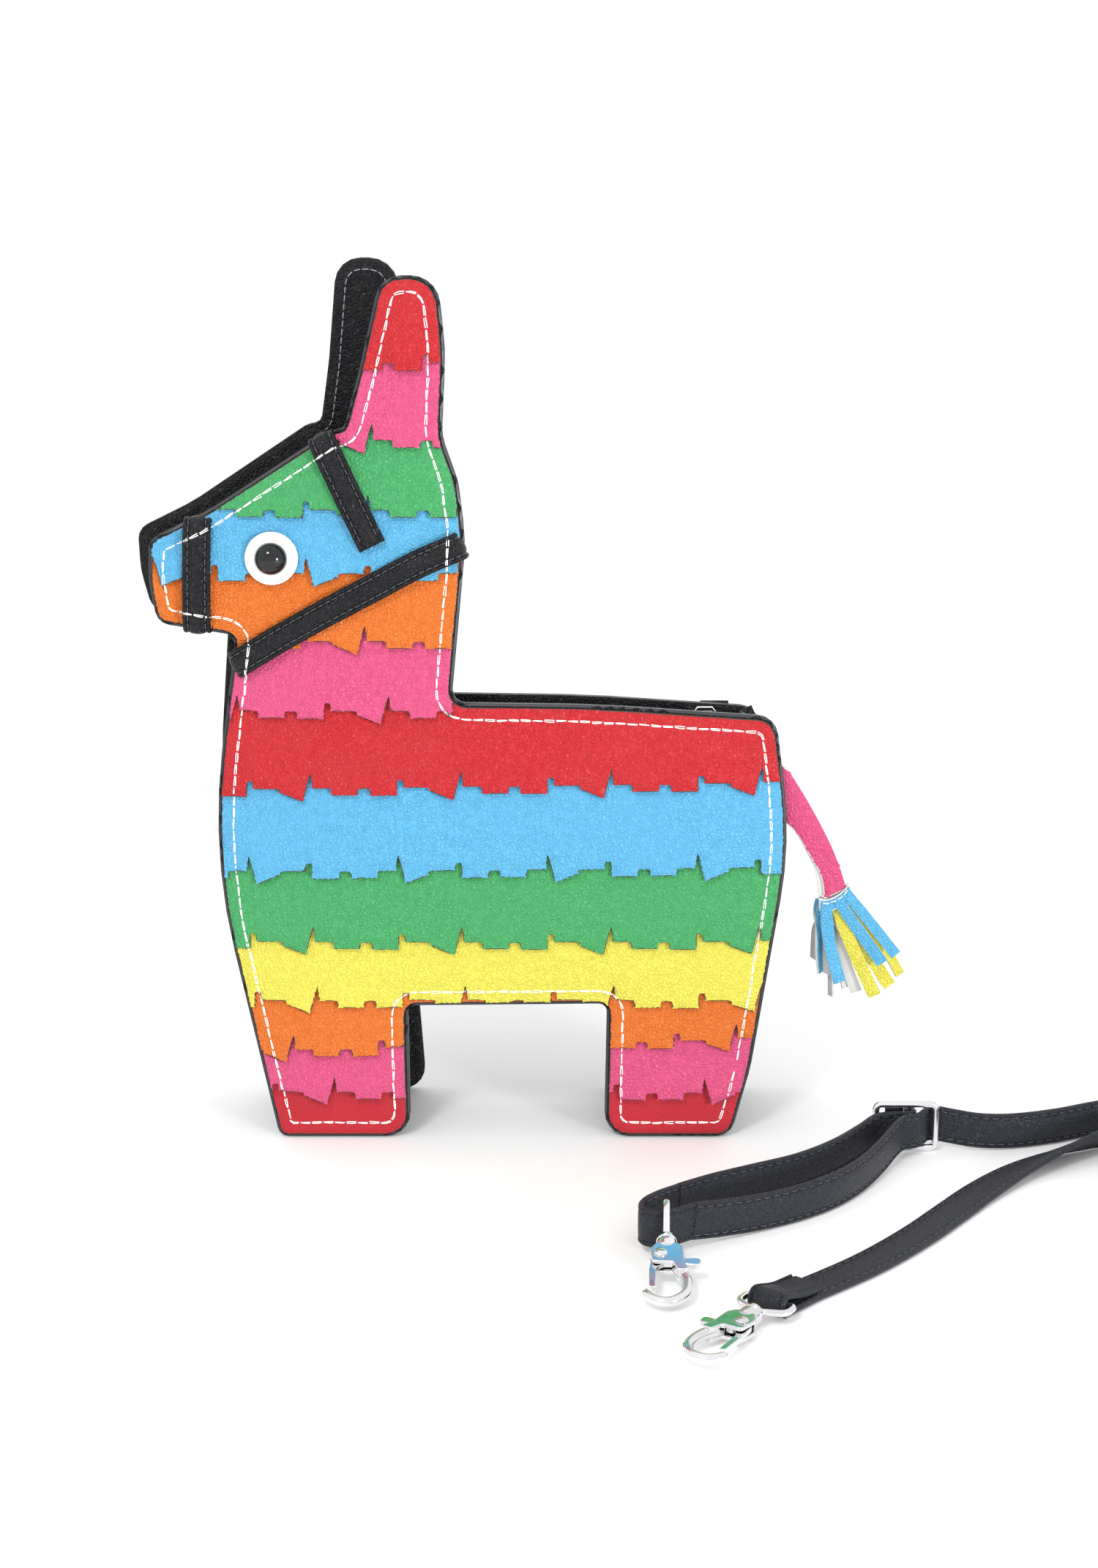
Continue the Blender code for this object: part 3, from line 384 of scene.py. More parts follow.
ADJUSTER = [(49.4, -107.6, 8.3), (43.8, -112.0, 8.5), (38.9, -113.8, 8.6), (35.1, -110.9, 8.6),
            (35.6, -105.0, 8.5), (39.6, -98.8, 8.2), (46.5, -90.0, 6.9), (57.0, -80.8, 6.2),
            (70.0, -72.9, 6.1), (84.0, -64.6, 6.1), (96.0, -54.0, 6.3), (105.5, -43.0, 6.9),
            (111.6, -36.9, 8.1), (117.5, -35.9, 8.5), (121.3, -35.9, 8.5)]
TURN_ENDS = 6  # the adjuster's points up to this one turn round clasp 1's ring
MAIN = [(50.2, -107.1, 8.3), (60.0, -101.4, 6.9), (72.0, -95.0, 6.2), (84.0, -87.6, 6.1),
        (94.5, -78.6, 6.1), (103.5, -67.4, 6.3), (111.0, -55.0, 7.1), (116.0, -45.5, 8.1),
        (119.4, -39.8, 8.5), (122.4, -38.4, 8.5), (124.9, -37.0, 8.5), (126.9, -34.0, 8.5),
        (128.3, -31.3, 8.4), (131.0, -30.2, 8.2), (136.0, -30.9, 7.5), (145.0, -32.3, 6.5),
        (156.0, -31.4, 6.1), (170.0, -27.2, 6.1), (185.0, -20.2, 6.1), (200.0, -15.2, 6.1),
        (215.0, -13.3, 6.1), (231.0, -13.0, 6.1)]
FREE = [(79.6, -139.2, 1.3), (96.0, -124.3, 1.3), (107.5, -112.0, 1.3), (118.5, -98.5, 1.3),
        (128.0, -85.5, 1.3), (140.0, -69.5, 1.6), (153.5, -55.0, 2.2), (167.5, -44.2, 3.2),
        (181.0, -36.5, 4.3), (194.0, -29.8, 5.3), (205.0, -24.0, 6.1), (213.5, -19.9, 6.1),
        (221.0, -17.7, 6.1)]
FREE_FLAT = (72.0, 173.0)  # the free end lies flat up to here and stands on edge from here on
BUCKLE_AT = Vector((121.3, -33.5, 8.5))
CLASP_1 = Matrix.Translation((41.9, -118.5, 7.5)) @ Matrix.Rotation(math.radians(-92), 4, "Z") @ \
    Matrix.Rotation(math.radians(8.5), 4, "Y") @ Matrix.Rotation(math.pi, 4, "X")
CLASP_2 = Matrix.Translation((64.0, -158.0, 3.8)) @ Matrix.Rotation(math.radians(-123.4), 4, "Z")
COIL_AT = Vector((252.0, -79.0, 6.1))
COIL_OUT = 66.0
# The strap's turn round ring 1 is made this much thinner to ease its clip with the ring's wire
# at the swing's limit. The clip is still there.
TURN_THIN = 0.82
COIL_STEP = 4.15  # between the two strands, side by side


def coil_route():
    """Both ends wound up together, round an S where the strap's middle turns back on itself."""
    core = COIL_OUT - 2 * COIL_STEP

    def ring(centre, start, sweep_angle, r_start, r_end, count):
        points = []
        for i in range(count + 1):
            t = i / count
            angle = start + sweep_angle * t
            r = r_start + (r_end - r_start) * t
            x, y = centre[0] + r * math.cos(angle), centre[1] + r * math.sin(angle)
            points.append(COIL_AT + Vector((x, y, 0)))
        return points

    top, turn = math.pi / 2, 2 * math.pi
    half = core / 2
    outer = ring((0, 0), top, -turn, COIL_OUT, core, 120)
    middle = ring((0, half), top, -math.pi, half, half, 36)
    middle += ring((0, -half), top, math.pi, half, half, 36)[1:]
    inner = ring((0, 0), top, -math.pi, COIL_OUT - COIL_STEP, core, 60)
    return outer + middle[1:] + inner[::-1][1:]


def strap_profile(scale=1.0):
    """The strap's section: folded beads at the edges, a groove under each row of stitches."""
    half, thick = STRAP_WIDTH / 2, STRAP_THICK / 2
    upper = [(-half, 0.0), (-half + 0.12, 0.5), (-half + 0.5, 0.9), (-half + 0.95, 0.95),
             (-GROOVE - 0.25, 0.5), (-GROOVE + 0.25, 0.5), (-3.6, 0.92), (-1.8, 0.99), (0.0, 1.0)]
    upper = upper + [(-a, b) for a, b in upper[-2::-1]]
    lower = [(a, -b) for a, b in upper[-2:0:-1]]
    return [(a * scale, b * thick * scale) for a, b in upper + lower]


def rolled_ups(points, rolls=None):
    """Each point's thin direction: level where the strap stands on edge, upright where it lies flat."""
    ups = []
    for i, roll in enumerate(rolls or [0] * len(points)):
        tangent = heading(points, i)
        level = tangent.cross(Vector((0, 0, 1))).normalized()
        upright = level.cross(tangent)
        angle = math.radians(roll)
        ups.append(level * math.cos(angle) + upright * math.sin(angle))
    return ups


def strap_stitches(name, points, ups):
    """A row of dark stitches in each groove, on both faces."""
    runs = []
    for edge in (-1, 1):
        for face in (-1, 1):
            line, normals = [], []
            for i, point in enumerate(points):
                tangent = heading(points, i)
                across = tangent.cross(ups[i]).normalized()
                up = across.cross(tangent) * face
                line.append(point + across * GROOVE * edge + up * 0.52)
                normals.append(up)
            runs.append((line, normals))
    return stitches(name, runs, M["black_thread"], "bag", 3.3, 2.3, 0.2)


def stitches(name, runs, material, body, pitch, length, radius, doubled=0.0, wander=0.0):
    """Rows of separate stitches; each run is a line in millimetres with a normal at each point."""
    curve = bpy.data.curves.new(name, "CURVE")
    curve.dimensions = "3D"
    curve.bevel_depth = radius * MM
    curve.bevel_resolution = 1
    curve.use_fill_caps = True
    for line, normals in runs:
        totals = lengths_of(line)
        rows = np.array([(*p, *n) for p, n in zip(line, normals)], float)

        def read(at):
            row = [np.interp(at, totals, column) for column in rows.T]
            return Vector(row[:3]), Vector(row[3:]).normalized()

        for k in range(int(totals[-1] / pitch)):
            middle = (k + 0.5) * pitch
            for strand in ((-1, 1) if doubled else (0,)):
                slide = RANDOM.uniform(-wander, wander)
                turn = RANDOM.uniform(-wander, wander)
                spline = curve.splines.new("POLY")
                spline.points.add(4)
                for point, t in zip(spline.points, (-1.0, -0.72, 0.0, 0.72, 1.0)):
                    place, normal = read(min(max(middle + t * length / 2, 0), totals[-1]))
                    ahead, _ = read(min(max(middle + t * length / 2 + 0.3, 0), totals[-1]))
                    behind, _ = read(max(min(middle + t * length / 2 - 0.3, totals[-1]), 0))
                    across = (ahead - behind).normalized().cross(normal)
                    rise = {1.0: -1.6, 0.72: 0.35, 0.0: 0.75}[abs(t)] * radius
                    shift = strand * doubled * (1 - 0.5 * t * t) + slide + turn * t
                    point.co = (*((place + normal * rise + across * shift) * MM), 1)
    curve.materials.append(material)
    thing = bpy.data.objects.new(name, curve)
    SCENE.collection.objects.link(thing)
    return finish(thing, body)


def add_strap(clasps, buckle):
    """The strap as two cords, with its turns round the metal as pieces on them."""
    main_run = smooth_route(MAIN, 2.0)
    coil = coil_route()
    free = smooth_route(FREE, 2.0)[::-1]
    lead_in = smooth_route([coil[-1], coil[-1] + Vector((-16.0, 0.9, 0)), free[0]], 2.0)
    route = main_run + coil[1:] + lead_in[1:] + free[1:]
    totals = lengths_of(route)
    flat_from = totals[-1] - FREE_FLAT[1]
    flat_to = totals[-1] - FREE_FLAT[0]
    rolls = [90 * (1 - min(1.0, max(0.0, (flat_to - t) / (flat_to - flat_from))) ** 2) for t in totals]
    for point, roll, t in zip(route, rolls, totals):
        if t > flat_from:
            tilt = math.radians(roll)
            point.z = 0.3 + STRAP_WIDTH / 2 * math.cos(tilt) + STRAP_THICK / 2 * math.sin(tilt)
    ups = rolled_ups(route, rolls)
    long_strap = sweep("strap_long", route, ups, strap_profile(), M["strap"])
    finish(long_strap, "bag", ("strap_main", "strap_coil", "strap_free"))

    adjuster = smooth_route(ADJUSTER[TURN_ENDS:], 2.0)
    adjuster_strap = sweep("strap_short", adjuster, rolled_ups(adjuster), strap_profile(), M["strap"])
    finish(adjuster_strap, "bag", ("strap_adjuster",))

    turn_1 = smooth_route([main_run[2], main_run[1], MAIN[0]] + ADJUSTER[:TURN_ENDS + 1] + [adjuster[1]], 1.0)
    bend_end = turn_1[len(turn_1) * 3 // 5:]
    turn_1_piece = sweep("strap_turn_ring", turn_1, rolled_ups(turn_1),
                         [(a, b * TURN_THIN) for a, b in strap_profile(0.985)], M["strap"])
    finish(turn_1_piece, "bag")

    bend = [BUCKLE_AT + Vector((FOLD_R * math.sin(a), -FOLD_R * math.cos(a), 0))
            for a in (math.radians(d) for d in range(0, 181, 15))]
    beyond = [BUCKLE_AT + Vector(p) for p in ((-2.9, 2.3, 0), (-6.3, 2.2, 0))]
    turn_2 = even(bend + beyond, 0.8)
    turn_2_piece = sweep("strap_turn_buckle", turn_2, rolled_ups(turn_2), strap_profile(0.995), M["strap"])
    finish(turn_2_piece, "bag")

    bar = CLASP_2 @ Vector((-9.0, 0, 0))
    back = (CLASP_2.to_3x3() @ Vector((-1, 0, 0))).normalized()
    up = Vector((0, 0, 1))
    side = back.cross(up)
    turn_3 = [bar + back * 16.0 - up * 0.3 + side * 2.2, bar + back * 8.8 + up * 0.1 + side * 0.9,
              bar + back * 2.1 + up * 1.9]
    turn_3 += [bar - back * (FOLD_R * math.cos(a)) + up * (FOLD_R * math.sin(a))
               for a in (math.radians(d) for d in range(90, -91, -30))]
    turn_3 += [Vector(FREE[0])]
    turn_3 = smooth_route(turn_3, 0.8)
    thin = [side.cross(heading(turn_3, i)) for i in range(len(turn_3))]
    turn_3_piece = sweep("strap_turn_end", turn_3, thin, strap_profile(0.995), M["strap"])
    finish(turn_3_piece, "bag")

    sewn = [strap_stitches("strap_long_stitches", route, ups),
            strap_stitches("strap_short_stitches", adjuster, rolled_ups(adjuster)),
            strap_stitches("strap_turn_stitches", bend_end, rolled_ups(bend_end))]


def smooth(t):
    t = max(0.0, min(1.0, t))
    return t * t * (3 - 2 * t)


# Flat leather pieces

FACING = 0.95  # a face looks out of a side when its normal is this close to the side's

def outlines(node, side):
    """The loops of (x, s) round a CAD node's faces that look out of a side, and a line through their heights.

    The longest loop comes first. The line is its slope up the side and its height at the foot.
    """
    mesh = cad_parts[node].data
    out = side.normal()
    follow = {}
    where = {}

    def key(index):
        x, s, h = side.of(mesh.vertices[index].co)
        name = (round(x, 3), round(s, 3))
        where[name] = (x, s, h)
        return name

    for polygon in mesh.polygons:
        if polygon.normal.dot(out) > FACING:
            corners = [key(i) for i in polygon.vertices]
            for a, b in zip(corners, corners[1:] + corners[:1]):
                follow[(a, b)] = True
    edges = {a: b for a, b in follow if (b, a) not in follow}
    loops = []
    while edges:
        start, point = edges.popitem()
        loop = [start]
        while point != start and point in edges:
            loop.append(point)
            point = edges.pop(point)
        loops.append(np.array(loop))
    heights = np.array(list(where.values()))
    loops.sort(key=lambda loop: -np.linalg.norm(np.diff(loop, axis=0), axis=1).sum())
    return [anticlockwise(loop) for loop in loops], np.polyfit(heights[:, 1], heights[:, 2], 1)


def anticlockwise(loop):
    x, s = loop.T
    area = (x * np.roll(s, -1) - np.roll(x, -1) * s).sum()
    return loop if area > 0 else loop[::-1]


def distance_to(points, a):
    """How far each point is from a closed loop."""
    ab = np.roll(a, -1, axis=0) - a
    long = np.maximum((ab ** 2).sum(1), 1e-12)
    best = np.full(len(points), 1e9)
    for i in range(0, len(points), 2000):
        p = points[i:i + 2000, None, :]
        t = np.clip(((p - a) * ab).sum(2) / long, 0, 1)
        best[i:i + 2000] = np.sqrt((((a + t[:, :, None] * ab) - p) ** 2).sum(2)).min(1)
    return best


def inside(points, loop):
    x, s = points[:, 0:1], points[:, 1:2]
    ax, ay = loop.T
    bx, by = np.roll(ax, -1), np.roll(ay, -1)
    crosses = ((ay > s) != (by > s)) & (x < (bx - ax) * (s - ay) / np.where(by == ay, 1e-12, by - ay) + ax)
    return crosses.sum(1) % 2 == 1


def divided(loop, step):
    """The loop with its long edges cut up, its corners kept."""
    points = []
    for a, b in zip(loop, np.roll(loop, -1, axis=0)):
        parts = max(1, int(np.linalg.norm(b - a) / step + 0.5))
        points += [a + (b - a) * i / parts for i in range(parts)]
    return np.array(points)


def inset_line(loop, by, step=1.0):
    """A closed loop moved inwards, as an evenly spaced line."""
    fine = divided(loop, step / 2)
    ahead = np.roll(fine, -1, axis=0) - np.roll(fine, 1, axis=0)
    ahead /= np.maximum(np.linalg.norm(ahead, axis=1), 1e-9)[:, None]
    moved = fine + np.stack([-ahead[:, 1], ahead[:, 0]], axis=1) * by
    moved = moved[distance_to(moved, loop) > by * 0.985]
    line = [Vector((*p, 0)) for p in np.vstack([moved, moved[:1]])]
    return np.array([(p.x, p.y) for p in even(line, step)])


def slab(name, loop, side, heights, materials, step=3.0, rim=0.4, edge=0.25):
    """A flat piece with softened edges; heights(x, s) gives its under and upper surface.

    The materials are those of its upper face, its cut edge and its under face. The cut edge's material also
    covers a thin ring of the upper face along the edge; on the strips that dark line is partly their cut edge
    and partly painted shadow along it.
    """
    border = divided(loop, step * 0.7)
    low, high = border.min(0), border.max(0)
    rows = np.arange(low[1], high[1], step * 0.87)
    columns = np.arange(low[0], high[0], step)
    grid = np.array([(x + (i % 2) * step / 2, s) for i, s in enumerate(rows) for x in columns])
    candidates = np.vstack([grid, inset_line(border, rim, step * 0.7)])
    keep = inside(candidates, border)
    away = distance_to(candidates, border)
    keep &= away > rim * 0.9
    keep[:len(grid)] &= away[:len(grid)] > rim + step * 0.45
    points = [Vector(p) for p in border] + [Vector(p) for p in candidates[keep]]
    edges = [(i, (i + 1) % len(border)) for i in range(len(border))]
    flat, _, triangles, *_ = delaunay_2d_cdt(points, edges, [], 0, 1e-5)
    flat = np.array([tuple(p) for p in flat])
    triangles = np.array([t for t in triangles if len(t) == 3])
    triangles = triangles[inside(flat[triangles].mean(1), border)]
    a, b, c = (flat[triangles[:, i]] for i in range(3))
    turned = ((b - a)[:, 0] * (c - a)[:, 1] - (b - a)[:, 1] * (c - a)[:, 0]) < 0
    triangles[turned] = triangles[turned][:, ::-1]

    away = distance_to(flat, border)
    drop = edge * (1 - np.sqrt(1 - (1 - np.clip(away / rim, 0, 1)) ** 2))
    under, upper = heights(flat[:, 0], flat[:, 1])
    under, upper = under + drop * 0.6, upper - drop
    verts = [side.at(x, s, h) for (x, s), h in zip(flat, upper)]
    verts += [side.at(x, s, h) for (x, s), h in zip(flat, under)]
    size = len(flat)
    directed = {(int(t[i]), int(t[(i + 1) % 3])) for t in triangles for i in range(3)}
    outer = sorted((i, j) for i, j in directed if (j, i) not in directed)
    faces = [tuple(int(i) for i in t) for t in triangles]
    faces += [tuple(int(i) + size for i in t[::-1]) for t in triangles]
    faces += [(j, i, i + size, j + size) for i, j in outer]
    # The upper face's thin ring along the edge takes the cut edge's material: on the strips, a dark line that
    # is partly the cut edge and partly painted shadow along it.
    edge_and_shadow_line = distance_to(flat[triangles].mean(1), border) < rim * 0.75
    which = [int(rimmed) for rimmed in edge_and_shadow_line] + [2] * len(triangles) + [1] * len(outer)
    used = sorted({i for face in faces for i in face})
    new = {old: i for i, old in enumerate(used)}
    faces = [tuple(new[i] for i in face) for face in faces]
    return make(name, [verts[i] for i in used], faces, materials, which)


def rolling(x, s, size, seed):
    """Smooth noise over a panel, about -0.5 to 0.5."""
    return np.array([noise.noise(Vector((a / size, b / size, seed))) for a, b in zip(x, s)])


# Bag body

STITCH_INSET = 5.0
(FRONT_LOOP, *_), _ = outlines("panel_front", FRONT)
(BACK_LOOP, *_), _ = outlines("panel_back", BACK)


def pressed(x, s, loop):
    """How the padded side swells inside its seam and dips under the stitches."""
    away = distance_to(np.stack([x, s], axis=1), loop)
    swell = 1 - np.exp(-np.maximum(away - STITCH_INSET, 0) / 13)
    dent = np.exp(-((away - STITCH_INSET) / 1.2) ** 2)
    return away, swell, dent


def add_panels():
    def front(x, s):
        return np.full(len(x), -PANEL), 0.12 * rolling(x, s, 9, 3.0) - 0.06

    def back(x, s):
        _, swell, dent = pressed(x, s, BACK_LOOP)
        calm = np.clip((EAR_FOOT - s) / 20, 0.15, 1)
        rise = (1.5 * swell + 0.7 * rolling(x, s, 52, 8.0) * swell) * calm - 0.3 * dent
        return np.full(len(x), -PANEL) + 0.25 * dent, rise

    skin = [M["black"], M["paint"], M["black"]]
    face = slab("side_front", FRONT_LOOP, FRONT, front, skin, 6.0, 0.8, 0.6)
    finish(face, "bag", ("panel_front",))
    face = slab("side_back", BACK_LOOP, BACK, back, skin, 4.0, 0.8, 0.7)
    finish(face, "bag", ("panel_back",))


BACK_SHEAR = 0.052  # how far the back's outline moves towards the muzzle as it rises
# Each gusset starts and ends at these points of the front panel's seam
GUSSETS = {
    "gusset_face": ((-24.5, 200.2), (-84.0, 156.1)),
    "gusset_chest": ((-84.7, 155.6), (-84.8, 54.3)),
    "gusset_under": ((-84.8, 53.8), (69.6, 42.4)),
    "gusset_rump": ((69.7, 42.9), (74.2, 128.0)),
    "gusset_neck": ((-27.6, 138.0), (-24.4, 199.7)),
}
EXTRA_STARTS = {"gusset_neck": (-28.6, 127.0)}
EXTRA_ENDS = {"gusset_rump": (73.6, 133.0)}


def shell_seam():
    """The seam line of the shell, which passes under the ears."""
    ear = (FRONT_LOOP[:, 1] > EAR_FOOT) & (FRONT_LOOP[:, 0] > -57.5)
    start = int(np.nonzero(ear)[0][0])
    if ear[start - 1]:
        start = int(np.nonzero(~ear)[0][-1]) + 1
    rolled = np.roll(FRONT_LOOP, -start, axis=0)
    kept = rolled[~np.roll(ear, -start)]
    return inset_line(np.vstack([[(-27.0, 221.0), (-30.0, 223.4)], kept]), STITCH_INSET, 0.8)


def gusset_path(node, seam):
    (ax, ay), (bx, by) = GUSSETS[node]
    start = int(np.argmin(np.hypot(seam[:, 0] - ax, seam[:, 1] - ay)))
    seam = np.roll(seam, -start, axis=0)
    end = int(np.argmin(np.hypot(seam[:, 0] - bx, seam[:, 1] - by)))
    points = [EXTRA_STARTS[node]] if node in EXTRA_STARTS else []
    points += [tuple(p) for p in seam[:end + 1]]
    points += [EXTRA_ENDS[node]] if node in EXTRA_ENDS else []
    return [Vector((*p, 0)) for p in points]


def add_gusset(node, seam):
    """A gusset as one bent leather band: a wall with a flange turned out along each panel."""
    near = gusset_path(node, seam)
    pieces = round(lengths_of(near)[-1] / 2.2)
    near = even(near, 0, pieces)
    far = [Vector((p.x + BACK_SHEAR * (60 - p.y), p.y, 0)) for p in near]
    verts = []
    ts = [0.06, 0.14, 0.26, 0.4, 0.5, 0.6, 0.74, 0.86, 0.94]
    for i in range(pieces + 1):
        ends = []
        for line, side in ((near, FRONT), (far, BACK)):
            ahead = heading(line, i)
            out = Vector((ahead.y, -ahead.x, 0))
            rough = 0.3 * noise.noise(Vector((line[i].x / 5, line[i].y / 5, 1.0)))
            places = [(4.35 + rough, -PANEL - 0.6), (2.4, -PANEL - 0.62), (0.7, -PANEL - 0.7),
                      (0.12, -PANEL - 1.0), (0.0, -PANEL - 1.7)]
            row = [side.at(*(line[i] + out * a)[:2], h) for a, h in places]
            ends.append((row, side.at(*(line[i] + out)[:2]) - side.at(*line[i][:2])))
        (row_a, out_a), (row_b, out_b) = ends
        verts += row_a
        for t in ts:
            fold = 0.25 * noise.noise(Vector((near[i].x / 8, near[i].y / 8, t * 3)))
            bulge = (0.8 * math.sin(math.pi * t) + fold) if 0.1 < t < 0.9 else 0.1
            verts.append(row_a[-1].lerp(row_b[-1], t) + out_a.lerp(out_b, t) * bulge)
        verts += row_b[::-1]
    width = 10 + len(ts)
    faces = [(i * width + j, i * width + j + 1, (i + 1) * width + j + 1, (i + 1) * width + j)
             for i in range(pieces) for j in range(width - 1)]
    thing = make("wall_" + node.split("_")[1], verts, faces, [M["black"], M["paint"]], sharp=60)
    shell = thing.modifiers.new("thickness", "SOLIDIFY")
    shell.thickness = 0.9 * MM
    shell.offset = 0
    shell.material_offset_rim = 1
    finish(thing, "bag", (node,))


# Strips

STRIP_SLOTS = {
    "ear_red": "red", "ear_pink": "pink", "head_green": "green", "head_blue": "blue", "head_orange": "orange",
    "neck_pink": "pink", "body_red": "red", "body_blue": "blue", "body_green": "green",
    "body_yellow": "yellow", "legs_orange": "orange", "leg_pink_front": "pink", "leg_pink_rear": "pink",
    "hoof_red_front": "deep_red", "hoof_red_rear": "deep_red",
}
STRIP = 0.8


def add_strip(node, colour, seed):
    """A leather strip that swells with the side, is pressed down at the seam, and lifts at its fringe."""
    loops, plane = outlines(node, FRONT)
    bottom = loops[0][:, 1].min()
    hoof = node.startswith("hoof")

    def heights(x, s):
        away, swell, dent = pressed(x, s, FRONT_LOOP)
        flat = np.polyval(plane, s) - STRIP
        held = 0.62 + 0.38 * np.clip(away / 9, 0, 1)
        rise = flat * held + 0.75 * swell + 0.35 * rolling(x, s, 45, 2.0) * swell - 0.3 * dent
        free = 0 if hoof else np.clip((bottom + 9 - s) / 9, 0, 1) ** 2
        curl = free * (0.3 + 1.1 * np.abs(rolling(x, s * 0, 7.0, seed))) * np.clip((away - 3) / 6, 0, 1)
        return rise + curl, rise + curl + STRIP

    thing = slab("strip_" + node, loops[0], FRONT, heights, [M[colour], M["raw"], M["suede"]], 2.6,
                 0.28, 0.2)
    return finish(thing, "bag", (node,))


# Bridle

BRIDLE_H = 4.3
BRIDLE_HALF = 4.35
# Each strap's middle line over the head; an end beyond the panel wraps round its edge
BRIDLE_LINES = {
    "noseband": [(-98.8, 210.0), (-99.8, 183.0), (-100.3, 155.0)],
    "cheek_strap": [(-64.5, 232.0), (-61.9, 225.6), (-52.0, 204.0), (-44.6, 188.4)],
    "throat_strap": [(-104.0, 145.0), (-88.0, 154.2), (-76.0, 161.4), (-62.5, 169.0), (-46.0, 177.7),
                     (-33.0, 184.6), (-22.0, 189.4), (-8.0, 194.6)],
}
WRAP = [(0.5, -2.0), (0.6, 0.0), (0.4, 2.2), (-0.6, 3.5), (-2.6, 4.1)]  # outwards and height at an edge
BRIDLE_SEAM = 2.7


def wrapped(points):
    """A bridle strap's route, cut where it crosses the panel's edge and bent round it there."""
    flat = smooth_route([(*p, 0) for p in points], 0.5)
    course = (flat[-1] - flat[0]).normalized()
    across = np.array([course.y, -course.x]) * BRIDLE_HALF * 0.6
    places = np.array([p[:2] for p in flat])
    within = inside(places + across, FRONT_LOOP) & inside(places - across, FRONT_LOOP)
    kept = [p for p, keep in zip(flat, within) if keep]
    route = [Vector((p.x, p.y, BRIDLE_H)) for p in kept[::8]]
    for first, edge, inner in ((True, kept[0], kept[6]), (False, kept[-1], kept[-7])):
        if within[0 if first else -1]:
            continue
        out = (edge - inner).normalized()
        turn = [edge + out * a + Vector((0, 0, h)) for a, h in WRAP]
        route = [p for p in route if (Vector((*p[:2], 0)) - edge).length > 6]
        route = turn + route if first else route + turn[::-1]
    return route


def bridle_profile():
    """Folded edges, a groove under each row of stitches and a padded middle."""
    half = [(-BRIDLE_HALF, 0.0), (-4.2, 0.5), (-3.8, 0.8), (-3.3, 0.82), (-BRIDLE_SEAM - 0.25, 0.5),
            (-BRIDLE_SEAM + 0.25, 0.5), (-2.1, 0.9), (-1.1, 1.15), (0.0, 1.22)]
    upper = half + [(-a, b) for a, b in half[-2::-1]]
    return upper + [(3.6, -0.6), (-3.6, -0.6)]


def add_bridle():
    """Three straps over the head, bent round the panel's edge at their ends."""
    made = []
    for name, points in BRIDLE_LINES.items():
        line = smooth_route(wrapped(points), 1.0)
        first, last = line[8], line[-9]
        course = Vector((last.x - first.x, last.y - first.y, 0)).normalized()
        across = Vector((course.y, -course.x, 0))
        world = [FRONT.at(*p) / MM for p in line]
        side_world = (FRONT.matrix.to_3x3() @ across).normalized()
        ups = [side_world.cross(heading(world, i)) for i in range(len(world))]
        thing = sweep("bridle_" + name, world, ups, bridle_profile(), M["black"], sharp=40)
        made.append(finish(thing, "bag", (name,)))
        runs = []
        for edge in (-1, 1):
            row = [p + side_world * BRIDLE_SEAM * edge + up * 0.5 for p, up in zip(world, ups)]
            runs.append((row[2:-2], ups[2:-2]))
        stitches("stitches_" + name, runs, M["black_thread"], "bag", 2.5, 1.9, 0.2)
    return made


# Stitches on the sides

ABOVE_ALL = 14.0  # higher than anything on the front

def cast_line(line, side, trees):
    """A line on a side's plane dropped on to the pieces that lie there."""
    out = side.normal()
    places, normals = [], []
    for x, s in line:
        origin = side.at(x, s, ABOVE_ALL)
        best = None
        for tree in trees:
            hit, _, _, far = tree.ray_cast(origin, -out, 0.03)
            if hit is not None and (best is None or far < best[0]):
                best = (far, hit)
        places.append((best[1] if best else side.at(x, s, 0)) / MM)
        normals.append(out)
    return places, normals


def add_seams(covers):
    bpy.context.view_layer.update()
    graph = bpy.context.evaluated_depsgraph_get()
    trees = [BVHTree.FromObject(thing, graph) for thing in covers]
    line = inset_line(FRONT_LOOP, STITCH_INSET, 0.8)
    stitches("seam_front", [cast_line(line, FRONT, trees)], M["white_thread"], "bag", 3.7,
             3.5, 0.17, doubled=0.2, wander=0.16)
    back = BVHTree.FromObject(bpy.data.objects["side_back"], graph)
    line = inset_line(BACK_LOOP, STITCH_INSET, 0.8)
    stitches("seam_back", [cast_line(line, BACK, [back])], M["black_thread"], "bag", 3.4, 2.7,
             0.27)
    inner = inset_line(BACK_LOOP, 3.4, 0.8)
    inner = inner[inner[:, 1] > 150]
    breaks = np.nonzero(np.linalg.norm(np.diff(inner, axis=0), axis=1) > 3)[0] + 1
    toward = -BACK.normal()
    runs = []
    for part in np.split(inner, breaks):
        if len(part) > 4:
            runs.append(([BACK.at(x, s, -PANEL) / MM for x, s in part], [toward] * len(part)))
    # These black stitches are drawn in grey thread, a painted highlight for their glints.
    stitches("seam_back_inner", runs, M["painted_glint_thread"], "bag", 2.6, 1.9, 0.2)


# Cut, turned and bent small pieces

WIRE_SIDES = 18

def rounded(corners, steps=5):
    """A closed polygon of (x, y, radius) with its corners rounded, as flat points."""
    line = []
    count = len(corners)
    for i, (x, y, radius) in enumerate(corners):
        here = Vector((x, y, 0))
        back = Vector((*corners[i - 1][:2], 0)) - here
        ahead = Vector((*corners[(i + 1) % count][:2], 0)) - here
        half = back.angle(ahead) / 2
        reach = min(radius / math.tan(half), 0.47 * back.length, 0.47 * ahead.length)
        first, last = here + back.normalized() * reach, here + ahead.normalized() * reach
        for k in range(steps + 1):
            t = k / steps
            line.append(first * (1 - t) ** 2 + here * 2 * t * (1 - t) + last * t * t)
    return line


def soften(thing, width):
    bevel = thing.modifiers.new("soft_edges", "BEVEL")
    bevel.width = width * MM
    bevel.segments = 3
    bevel.limit_method = "ANGLE"
    bevel.angle_limit = math.radians(28)
    bevel.use_clamp_overlap = True
    bevel.harden_normals = True
    return thing


